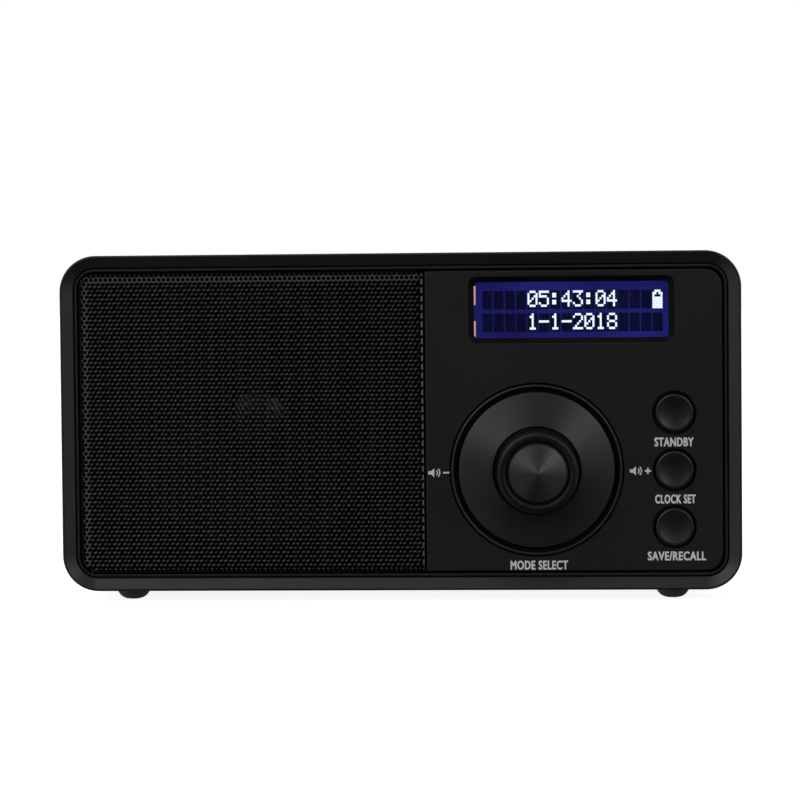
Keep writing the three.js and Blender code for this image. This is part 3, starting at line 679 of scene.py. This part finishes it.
# ---- loudspeaker behind the grille -----------------------------------------
o = (SX, PANEL_Y, SZ)
cone = revolve("speaker_cone_skin", [(29.6, 6.3), (29.6, 6.9), (11, 18.6), (11, 18.0)] + [(11 + 18.6 * t, 18.0 - 11.7 * (0.82 * t + 0.18 * t * t)) for t in [i / 12 for i in range(1, 12)]], o, closed=True)
dress(cone, "root", PAPER, ["speaker_cone"])
roll = [(32.1 + 2.0 * cos(math.radians(180 - 180 * i / 10)), 6.0 - 1.5 * sin(math.radians(180 - 180 * i / 10))) for i in range(11)]
roll_in = [(32.1 + 1.6 * cos(math.radians(180 * i / 10)), 6.2 - 1.2 * sin(math.radians(180 * i / 10))) for i in range(11)]
dress(revolve("speaker_surround_skin", roll + [(34.5, 6.05), (34.5, 6.25)] + roll_in + [(29.9, 6.5), (29.9, 6.2)], o, closed=True), "root", FOAM, ["speaker_surround"])
R = 15.6
cap_pts = [(R * sin(a), 12.4 + R - R * cos(a)) for a in [math.asin(10.6 / R) * i / 16 for i in range(17)]]
cap_in = [(max(R - 0.5, 0) * sin(a), 12.4 + R - (R - 0.5) * cos(a)) for a in [math.asin(10.6 / R) * i / 16 for i in range(16, -1, -1)]]
dress(revolve("speaker_dust_cap_skin", cap_pts + cap_in, o), "root", DOME, ["speaker_dust_cap"])

# ---- display ---------------------------------------------------------------
lo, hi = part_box("lcd_window")
win = loft("lcd_window_skin", [(ring(lo[0] / MM, lo[2] / MM, hi[0] / MM, hi[2] / MM, 0.4, 6), 1.5), (ring(lo[0] / MM, lo[2] / MM, hi[0] / MM, hi[2] / MM, 0.4, 6), 2.4)])
dress(win, "root", LENS, ["lcd_window"])
glass = loft("lcd_glass_skin", [(ring(LX - 27.7, LZ - 8.4, LX + 27.7, LZ + 8.4, 0.3, 4), d) for d in (3.5, 4.6)])
dress(glass, "root", BLUE, ["lcd_glass"])

CH_W, CH_H, PITCH_X, PITCH_Z = 2.58, 4.79, 2.917, 5.875
FIRST_X, FIRST_Z = LX - 22.72, LZ + 4.93
FONT = {
    "0": "01110 10001 10011 10101 11001 10001 01110 00000", "1": "00100 01100 00100 00100 00100 00100 01110 00000",
    "2": "01110 10001 00001 00010 00100 01000 11111 00000", "3": "11111 00010 00100 00010 00001 10001 01110 00000",
    "4": "00010 00110 01010 10010 11111 00010 00010 00000", "5": "11111 10000 11110 00001 00001 10001 01110 00000",
    "8": "01110 10001 10001 01110 10001 10001 01110 00000", ":": "00000 01100 01100 00000 01100 01100 00000 00000",
    "-": "00000 00000 00000 11111 00000 00000 00000 00000", "#": "01110 11011 10001 11111 11111 11111 11111 11111",
}
lines = ["    05:43:04   #", "    1-1-2018    "]
cells_v, cells_f, dots_v, dots_f = [], [], [], []


def quad(vs, fs, x0, x1, z0, z1, d0, d1):
    b = len(vs)
    vs += [(x, at(d), z) for x in (x0, x1) for d in (d0, d1) for z in (z0, z1)]
    fs += [tuple(b + i for i in q4) for q4 in ((0, 1, 3, 2), (4, 6, 7, 5), (0, 4, 5, 1), (2, 3, 7, 6), (0, 2, 6, 4), (1, 5, 7, 3))]


for r_, text in enumerate(lines):
    zt = FIRST_Z + 0.0 - r_ * PITCH_Z
    for c_, ch in enumerate(text):
        x0 = FIRST_X + c_ * PITCH_X
        quad(cells_v, cells_f, x0, x0 + CH_W, zt - CH_H, zt, 3.46, 3.49)
        if ch in FONT:
            for rr, row in enumerate(FONT[ch].split()):
                for cc, bit in enumerate(row):
                    if bit == "1":
                        dx, dz = CH_W / 5, CH_H / 8
                        quad(dots_v, dots_f, x0 + cc * dx + 0.012, x0 + (cc + 1) * dx - 0.012, zt - (rr + 1) * dz + 0.014, zt - rr * dz - 0.014, 3.41, 3.44)
dress(make("lcd_cells", cells_v, cells_f), "root", CELL, weighted=False)
dress(make("lcd_characters", dots_v, dots_f), "root", LIT, weighted=False)
lv, lf = [], []
for z0, z1 in ((LZ + 1.4, LZ + 6.2), (LZ - 6.9, LZ - 2.8)):
    quad(lv, lf, LX - 24.9, LX - 24.45, z0, z1, 3.3, 3.47)
dress(make("lcd_edge_light", lv, lf), "root", LEAK, weighted=False)

# ---- dial ------------------------------------------------------------------
o = (DX, PANEL_Y, DZ)
dress(revolve("dial_surround_skin", [(21.95, 2.0), (21.95, -0.15)] + arc(21.6, -0.15, 0.35, 0, -180, 10)[1:] + [(21.25, 1.2), (6.4, 1.2), (6.4, 2.0)], o, n=160, closed=True),
      "root", [LIP, RECESS_SHADE], ["dial_surround"])
# painted shade: faces behind the front lip, down into the well, get the near-black recess colour
for pol in bpy.data.objects["dial_surround_skin"].data.polygons:
    pol.material_index = 1 if pol.center.y / MM > at(0.25) else 0
slope = math.atan2(2.0, 8.6)
disc = [(19.75, 0.9), (19.95, 0.7), (19.95, -0.05), (19.92, -0.16), (19.83, -0.25), (19.7, -0.31)]
disc += [(19.7 + (11.55 - 19.7) * i / 6, -0.31 + (-2.25 + 0.31) * i / 6) for i in range(1, 7)]
disc += [(11.42, -2.26), (11.35, -2.18), (11.35, -0.6), (3.4, -0.6), (3.4, 12.0), (5.9, 12.0), (5.9, 0.9)]
dress(revolve("dial_disc_skin", disc, o, n=160, closed=True), "dial", DISC, ["dial_disc"])
body = [(0, 11.8), (3.1, 11.8), (3.1, -7.6), (9.1, -7.6), (9.1, -1.5), (10.2, -1.5), (10.32, -1.62)]
body += [(10.35, -8.6)] + arc(9.25, -8.7, 1.1, 0, -90, 8)[1:] + [(8.75, -9.8)] + arc(8.7, -9.3, 0.5, -100, -180, 5)[1:] + [(8.15, -9.2), (8.1, -8.65), (0, -8.6)]
dress(revolve("knob_body_skin", body, o, n=128), "knob", KNOB, ["knob_body"])
capp = [(0, -8.9), (7.4, -8.9), (7.52, -9.0), (7.55, -9.2), (7.5, -9.34), (7.35, -9.42), (7.22, -9.4334)] + [(7.35 * (1 - i / 8), -9.42 - 0.76 * (i / 8)) for i in range(1, 8)] + [(0.35, -10.165), (0, -10.18)]
knob_cap = dress(revolve("knob_cap_skin", capp, o, n=128), "knob", [CAP, KNOB], ["knob_cap"])
# painted shade: the spun cap's outer fillet gets the dark knob plastic, so a dark ring stands where its edge would
# catch light
for pol in knob_cap.data.polygons:
    pol.material_index = 1 if math.hypot(pol.center.x / MM - DX, pol.center.z / MM - DZ) > 7.21 else 0

# ---- buttons ---------------------------------------------------------------
for nm in ("power", "clock", "memory"):
    bx, _, bz = centre(nm + "_button")
    pr = [(0, 9.2), (1.8, 9.2), (1.8, 3.1), (6.3, 3.1), (6.3, 2.3), (4.8, 2.3), (4.8, -0.4)]
    pr += arc(4.4, -0.4, 0.4, 0, -90, 6)[1:]
    R = 13.3
    pr += [(4.15, -0.79)] + [(4.0 * (1 - i / 10), -0.74 + 0.62 * (1 - (1 - i / 10) ** 2)) for i in range(11)]
    dress(revolve(nm + "_button_skin", pr, (bx, PANEL_Y, bz), n=96), nm + "_key", BUTTON, [nm + "_button"])

# ---- feet ------------------------------------------------------------------
for nm in ("foot_front_left", "foot_front_right", "foot_rear_left", "foot_rear_right"):
    x, y, _ = centre(nm)
    R, c0 = 7.1, 6.75
    pr = [(0, 0), (1.5, 0), (1.9, 0.04), (2.35, 0.16), (2.8, 0.36), (3.2, 0.63), (3.55, 0.96), (3.85, 1.34), (4.1, 1.75), (4.3, 2.2), (4.5, 2.7), (6.0, 2.95), (6.0, 3.5), (0, 3.5)]
    dress(revolve(nm + "_skin", pr, (x, y, 0), "Z", n=64), "root", RUBBER, [nm])

# ---- antenna ---------------------------------------------------------------
ay = at(ANT_D)
names = ["antenna_tube_1", "antenna_tube_2", "antenna_tube_3", "antenna_tube_4"]
bodies = ["antenna_arm", "antenna_stage_2", "antenna_stage_3", "antenna_stage_4"]
for nm, bd in zip(names, bodies):
    lo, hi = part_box(nm)
    r = (hi[2] - lo[2]) / 2 / MM
    x0, x1 = lo[0] / MM, hi[0] / MM
    pr = [(r - 0.3, x0 + 0.1), (r - 0.25, x0), (r - 0.1, x0), (r, x0 + 0.12), (r, x1 - 0.12), (r - 0.1, x1), (r - 0.3, x1)]
    dress(revolve(nm + "_skin", pr, (0, ay, AZ), "X", n=48, closed=True), bd, CHROME, [nm])
lo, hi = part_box("antenna_rod")
dress(revolve("antenna_rod_skin", [(0, lo[0] / MM), (1.1, lo[0] / MM), (1.1, hi[0] / MM), (0, hi[0] / MM)], (0, ay, AZ), "X", n=32), "antenna_stage_5", CHROME, ["antenna_rod"])
lo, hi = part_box("antenna_tip")
x0, x1 = lo[0] / MM, hi[0] / MM
tip = [(0, x0), (1.7, x0 + 0.02), (2.4, x0 + 0.2), (2.85, x0 + 0.7), (3.0, x0 + 1.3), (3.0, x0 + 2.4), (2.85, x0 + 2.5), (2.85, x0 + 2.9), (3.0, x0 + 3.0), (3.0, x1 - 0.9), (2.6, x1 - 0.25), (2.2, x1), (0, x1)]
dress(revolve("antenna_tip_skin", tip, (0, ay, AZ), "X", n=48), "antenna_stage_5", CHROME, ["antenna_tip"])

base = revolve("antenna_base_skin", [(0, 36.0), (3, 36.0), (3, 40.8), (5.8, 40.8), (6, 41.0), (6, 41.6), (5.8, 41.8), (0, 41.8)], (AX, PANEL_Y, AZ), "Y", n=64)
fork = box("f", AX - 3.3, AX + 3.3, at(41.6), ay, AZ - 3.7, AZ + 3.7)
drum = revolve("d", [(0, AZ - 3.7), (3.1, AZ - 3.7), (3.3, AZ - 3.5), (3.3, AZ + 3.5), (3.1, AZ + 3.7), (0, AZ + 3.7)], (AX, ay, 0), "Z", n=48)
fork = boolean(fork, drum, "UNION")
fork = boolean(fork, box("s", AX - 5, AX + 5, at(41.8), at(52), AZ - 2, AZ + 2))
fork = boolean(fork, revolve("h", [(0, AZ - 5), (1.2, AZ - 5), (1.2, AZ + 5), (0, AZ + 5)], (AX, ay, 0), "Z", n=32))
base = boolean(base, fork, "UNION")
dress(base, "antenna_turret", FITTING, ["antenna_base"])
dress(revolve("antenna_pin_skin", [(0, AZ - 3.8), (0.7, AZ - 3.8), (0.9, AZ - 3.6), (0.9, AZ + 3.6), (0.7, AZ + 3.8), (0, AZ + 3.8)], (AX, ay, 0), "Z", n=32), "antenna_turret", STEEL, ["antenna_pin"])
knuckle = revolve("antenna_knuckle_skin", [(0, AZ - 1.7), (2.9, AZ - 1.7), (3.1, AZ - 1.5), (3.1, AZ + 1.5), (2.9, AZ + 1.7), (0, AZ + 1.7)], (AX, ay, 0), "Z", n=48)
knuckle = boolean(knuckle, box("k", AX - 6.5, AX, ay - 2.3, ay + 2.3, AZ - 1.7, AZ + 1.7), "UNION")
knuckle = boolean(knuckle, revolve("k", [(0, AX - 9), (2.9, AX - 9), (2.9, AX - 5.5), (0, AX - 5.5)], (0, ay, AZ), "X", n=48), "UNION")
knuckle = boolean(knuckle, revolve("h", [(0, AZ - 5), (1.2, AZ - 5), (1.2, AZ + 5), (0, AZ + 5)], (AX, ay, 0), "Z", n=32))
dress(knuckle, "antenna_arm", FITTING, ["antenna_knuckle"])

# ---- screws and sockets seen from the back ---------------------------------
for i in range(4):
    nm = f"case_screw_{i + 1}"
    lo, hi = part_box(nm)
    x, z = (lo[0] + hi[0]) / 2 / MM, (lo[2] + hi[2]) / 2 / MM
    y1, y0 = hi[1] / MM, lo[1] / MM
    s = revolve(nm + "_skin", [(0, y0), (0.5, y0 + 0.1), (1.2, y0 + 1.4), (1.2, y1 - 1.7), (2.7, y1 - 1.7), (2.7, y1 - 0.9), (2.5, y1 - 0.45), (2.0, y1 - 0.1), (1.4, y1), (0, y1)], (x, 0, z), "Y", n=48)
    s = boolean(s, [box("x", x - 1.55, x + 1.55, y1 - 1.1, y1 + 1, z - 0.28, z + 0.28)])
    s = boolean(s, [box("x", x - 0.28, x + 0.28, y1 - 1.1, y1 + 1, z - 1.55, z + 1.55)])
    dress(s, "root", DARKSTEEL, [nm])
lo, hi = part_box("headphone_jack")
jack = box("headphone_jack_skin", lo[0] / MM, hi[0] / MM, lo[1] / MM, at(48), lo[2] / MM, hi[2] / MM)
jack = boolean(jack, revolve("b", [(0, 47), (3, 47), (3, BACK - 0.4), (2.8, BACK - 0.2), (0, BACK - 0.2)], (jx, PANEL_Y, jz), "Y", n=64), "UNION")
jack = boolean(jack, revolve("b", [(0, 42), (1.8, 42), (1.8, BACK - 0.5), (2.0, BACK - 0.2), (2.0, BACK + 1), (0, BACK + 1)], (jx, PANEL_Y, jz), "Y", n=48))
dress(jack, "root", KNOB, ["headphone_jack"])
sock = loft("charge_socket_skin", [(ring(ux - 4.5, uz - 1.65, ux + 4.5, uz + 1.65, 1.6, 10), 39.9), (ring(ux - 4.5, uz - 1.65, ux + 4.5, uz + 1.65, 1.6, 10), BACK - 0.35),
                                  (ring(ux - 4.4, uz - 1.55, ux + 4.4, uz + 1.55, 1.5, 10), BACK - 0.3), (ring(ux - 4.2, uz - 1.35, ux + 4.2, uz + 1.35, 1.3, 10), BACK - 0.3),
                                  (ring(ux - 4.15, uz - 1.3, ux + 4.15, uz + 1.3, 1.25, 10), BACK - 0.4), (ring(ux - 4.15, uz - 1.3, ux + 4.15, uz + 1.3, 1.25, 10), 43)])
dress(sock, "root", STEEL, ["charge_socket"])
tongue = loft("charge_socket_tongue", [(ring(ux - 3.2, uz - 0.35, ux + 3.2, uz + 0.35, 0.1, 3), d) for d in (42.9, 49)])
dress(tongue, "root", KNOB)

# ---- legends ---------------------------------------------------------------
def legend(name, text, cx, cz, height, width, weight=0.09, gap=1.1):
    """Flat lettering: outlines are scaled to size first and thickened evenly after, then merged into one sheet."""
    cu = bpy.data.curves.new(name, "FONT")
    cu.body = text
    cu.size = 1.0
    cu.space_character = gap
    cu.resolution_u = 3
    tmp = bpy.data.objects.new("tmp", cu)
    coll.objects.link(tmp)
    bpy.context.view_layer.update()
    me = bpy.data.meshes.new_from_object(tmp.evaluated_get(bpy.context.evaluated_depsgraph_get()))
    bpy.data.objects.remove(tmp)
    bm = bmesh.new()
    bm.from_mesh(me)
    bmesh.ops.remove_doubles(bm, verts=bm.verts, dist=1e-4)
    bm.verts.index_update()
    xs, ys = [v.co.x for v in bm.verts], [v.co.y for v in bm.verts]
    x0, x1, y0, y1 = min(xs), max(xs), min(ys), max(ys)
    sx, sy = (width - weight * 2) / (x1 - x0), (height - weight * 2) / (y1 - y0)
    pts = [Vector(((v.co.x - (x0 + x1) / 2) * sx, (v.co.y - (y0 + y1) / 2) * sy)) for v in bm.verts]
    polys = [[v.index for v in f_.verts] for f_ in bm.faces]
    rims = [(e.verts[0].index, e.verts[1].index) for e in bm.edges if len(e.link_faces) == 1]
    bm.free()
    for a_, b_ in rims:
        d = pts[b_] - pts[a_]
        if d.length < 1e-6:
            continue
        nrm = Vector((-d.y, d.x)).normalized() * weight
        k = len(pts)
        pts += [pts[a_] - nrm, pts[b_] - nrm, pts[b_] + nrm, pts[a_] + nrm]
        polys.append([k, k + 1, k + 2, k + 3])
    for i in {i for e in rims for i in e}:
        k = len(pts)
        pts += [pts[i] + Vector((cos(pi * (j + 0.5) / 3), sin(pi * (j + 0.5) / 3))) * weight for j in range(6)]
        polys.append(list(range(k, k + 6)))

    def area(poly):
        return sum(pts[poly[i]].x * pts[poly[(i + 1) % len(poly)]].y - pts[poly[(i + 1) % len(poly)]].x * pts[poly[i]].y for i in range(len(poly)))

    polys = [q_ if area(q_) > 0 else q_[::-1] for q_ in polys if abs(area(q_)) > 1e-9]
    v, _, tris, _, _, of = delaunay_2d_cdt(pts, [], polys, 0, 1e-5, True)
    bm = bmesh.new()
    bv = [bm.verts.new(((cx + p_.x) * MM, at(-0.012) * MM, (cz + p_.y) * MM)) for p_ in v]
    for t, o_ in zip(tris, of):
        if o_:
            bm.faces.new([bv[i] for i in t])
    bmesh.ops.delete(bm, geom=[q_ for q_ in bm.verts if not q_.link_faces], context="VERTS")
    bmesh.ops.dissolve_limit(bm, angle_limit=0.01, verts=bm.verts, edges=bm.edges)
    r = bmesh.ops.extrude_face_region(bm, geom=list(bm.faces))
    for e in r["geom"]:
        if isinstance(e, bmesh.types.BMVert):
            e.co.y += 0.017 * MM
    bmesh.ops.recalc_face_normals(bm, faces=bm.faces)
    me = bpy.data.meshes.new(name)
    bm.to_mesh(me)
    bm.free()
    ob = bpy.data.objects.new(name, me)
    coll.objects.link(ob)
    return dress(ob, "root", INK, shaded=False)


bx, _, bz1 = centre("power_button")
_, _, bz2 = centre("clock_button")
_, _, bz3 = centre("memory_button")
legend("legend_power", "STANDBY", bx - 0.1, bz1 - 7.5, 2.35, 10.0)
legend("legend_clock", "CLOCK SET", bx + 0.2, bz2 - 7.5, 2.35, 10.4)
legend("legend_memory", "SAVE/RECALL", bx + 0.5, bz3 - 7.5, 2.35, 14.9)
legend("legend_mode", "MODE SELECT", DX + 0.5, DZ - 24.55, 2.4, 14.8)


def symbol(name, cx, cz, shapes, lift=0.012):
    parts = []
    for pts in shapes:
        parts.append(loft(name + "_p", [([(cx + x, cz + z) for x, z in pts], -lift), ([(cx + x, cz + z) for x, z in pts], 0.005)]))
    ob = join(name, parts) if len(parts) > 1 else parts[0]
    ob.name = ob.data.name = name
    return dress(ob, "root", INK, shaded=False)


def bar(x0, x1, z0, z1):
    return [(x0, z0), (x1, z0), (x1, z1), (x0, z1)]


def sweep(cx, r, w, a):
    pts = [(cx + (r + w / 2) * cos(math.radians(t)), (r + w / 2) * sin(math.radians(t))) for t in [-a + 2 * a * i / 8 for i in range(9)]]
    return pts + [(cx + (r - w / 2) * cos(math.radians(t)), (r - w / 2) * sin(math.radians(t))) for t in [a - 2 * a * i / 8 for i in range(9)]]


speaker_sign = [[(-2.75, -0.42), (-2.05, -0.42), (-1.2, -1.15), (-1.2, 1.15), (-2.05, 0.42), (-2.75, 0.42)], sweep(-1.35, 0.95, 0.28, 42), sweep(-1.35, 1.55, 0.28, 42)]
minus = [bar(1.05, 2.65, -0.2, 0.2)]
plus = [[(1.05, -0.2), (1.65, -0.2), (1.65, -0.8), (2.05, -0.8), (2.05, -0.2), (2.65, -0.2), (2.65, 0.2), (2.05, 0.2), (2.05, 0.8), (1.65, 0.8), (1.65, 0.2), (1.05, 0.2)]]
symbol("legend_quieter", DX - 25.1, DZ - 0.6, speaker_sign + minus)
symbol("legend_louder", DX + 26.6, DZ - 0.4, speaker_sign + plus)

# ---- materials of the CAD pieces that stay ---------------------------------
KEPT = {
    "speaker_gasket": FOAM, "speaker_basket": DARKSTEEL, "speaker_magnet": FERRITE, "lcd_frame": STEEL, "lcd_backlight": DIFFUSER, "lcd_board": BOARD,
    "control_board": BOARD, "main_board": BOARD, "power_switch": KNOB, "clock_switch": KNOB, "memory_switch": KNOB, "dial_encoder": STEEL,
    "tuner_shield": STEEL, "battery_pack": WRAP, "battery_contact_left": GOLD, "battery_contact_right": GOLD, "antenna_clip": STEEL,
    **{f"speaker_screw_{i}": STEEL for i in (1, 2, 3, 4)}, **{f"control_board_screw_{i}": STEEL for i in (1, 2)},
}
for nm, m in KEPT.items():
    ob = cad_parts[nm]
    ob.data.materials.clear()
    ob.data.materials.append(m)

# ---- floor, backdrop and light ---------------------------------------------
def stage_material(name, colour, diffuse, emit):
    k = Nodes(name).set(Roughness=0.9, Specular_IOR_Level=0.0, Emission_Strength=emit)
    k.into("Base Color", k.mix(k.range(k.noise(3, 3), 0, 1), [c * diffuse for c in colour], [c * diffuse * 0.985 for c in colour]))
    k.p.inputs["Emission Color"].default_value = (*colour, 1)
    return k.m


bpy.ops.mesh.primitive_circle_add(vertices=96, radius=6, fill_type="NGON")
floor = bpy.context.object
floor.name = "floor"
floor.data.materials.append(stage_material("floor_pale", (1, 1, 1), 0.5, 0.9))
bpy.ops.mesh.primitive_uv_sphere_add(segments=48, ring_count=24, radius=5.9)
dome = bpy.context.object
dome.name = "backdrop"
dome.data.materials.append(stage_material("backdrop_pale", (1, 1, 1), 0.0, 1.0))
for o_ in (floor, dome):
    o_.visible_glossy = o_.visible_diffuse = o_.visible_shadow = o_.visible_transmission = False

# soft studio light: (clock angle seen from the front, angle off the line to the front, radiance)
LOBES = [(30, 50, 0.14, 13), (60, 50, 1.1, 13), (300, 50, 0.84, 13), (330, 50, 0.63, 13), (0, 78, 0.21, 13), (90, 78, 0.35, 13),
         (120, 78, 0.18, 13), (180, 78, 0.13, 13), (240, 78, 0.65, 13), (270, 78, 0.33, 13), (330, 78, 1.19, 13),
         (0, 108, 0.56, 13), (90, 108, 0.8, 13), (135, 108, 0.09, 13), (225, 108, 0.42, 13), (315, 108, 0.9, 13),
         (50, 48, 2.3, 60), (308, 48, 0.9, 60), (60, 62, 0.2, 60), (300, 62, 1.28, 60),
         (0, 160, 0.35, 6), (90, 145, 0.45, 6), (270, 145, 0.45, 6)]
BASE = 0.0
world = bpy.data.worlds.new("studio")
scene.world = world
world.use_nodes = True
nt = world.node_tree
nt.nodes.clear()
wo = nt.nodes.new("ShaderNodeOutputWorld")
bg = nt.nodes.new("ShaderNodeBackground")
tc = nt.nodes.new("ShaderNodeTexCoord")


def wmath(op, *v):
    n = nt.nodes.new("ShaderNodeMath")
    n.operation = op
    for sck, x in zip(n.inputs, v):
        if isinstance(x, (int, float)):
            sck.default_value = x
        else:
            nt.links.new(x, sck)
    return n.outputs[0]


total = None
for clock, off_axis, power, sharp in LOBES:
    a, t = math.radians(clock), math.radians(off_axis)
    dn = nt.nodes.new("ShaderNodeVectorMath")
    dn.operation = "DOT_PRODUCT"
    nt.links.new(tc.outputs["Generated"], dn.inputs[0])
    dn.inputs[1].default_value = (sin(a) * sin(t), -cos(t), cos(a) * sin(t))
    lobe = wmath("MULTIPLY", wmath("EXPONENT", wmath("MULTIPLY_ADD", dn.outputs["Value"], sharp, -sharp)), power)
    total = wmath("ADD", lobe, BASE if total is None else total)
nt.links.new(total, bg.inputs["Strength"])
bg.inputs["Color"].default_value = (1, 1, 1, 1)
nt.links.new(bg.outputs[0], wo.inputs[0])

# ---- camera ----------------------------------------------------------------
cam = bpy.data.cameras.new("camera")
cam.sensor_width = 36.0
cam.lens = 87.3
camera = bpy.data.objects.new("camera", cam)
coll.objects.link(camera)
scene.camera = camera
CAM = Vector((20.4, PANEL_Y - 498.3, CZ + 34.5)) * MM
YAW, PITCH, ROLL, SHIFT_X, SHIFT_Y = 2.303, -1.5435, -0.515, 0.0, -0.075
camera.location = CAM
rot = Matrix.Rotation(math.radians(YAW), 4, "Z") @ Matrix.Rotation(math.radians(90 + PITCH), 4, "X") @ Matrix.Rotation(math.radians(ROLL), 4, "Z")
camera.rotation_euler = rot.to_euler()
cam.shift_x, cam.shift_y = SHIFT_X, SHIFT_Y
cam.clip_start, cam.clip_end = 0.01, 50
scene.view_settings.view_transform = "Standard"
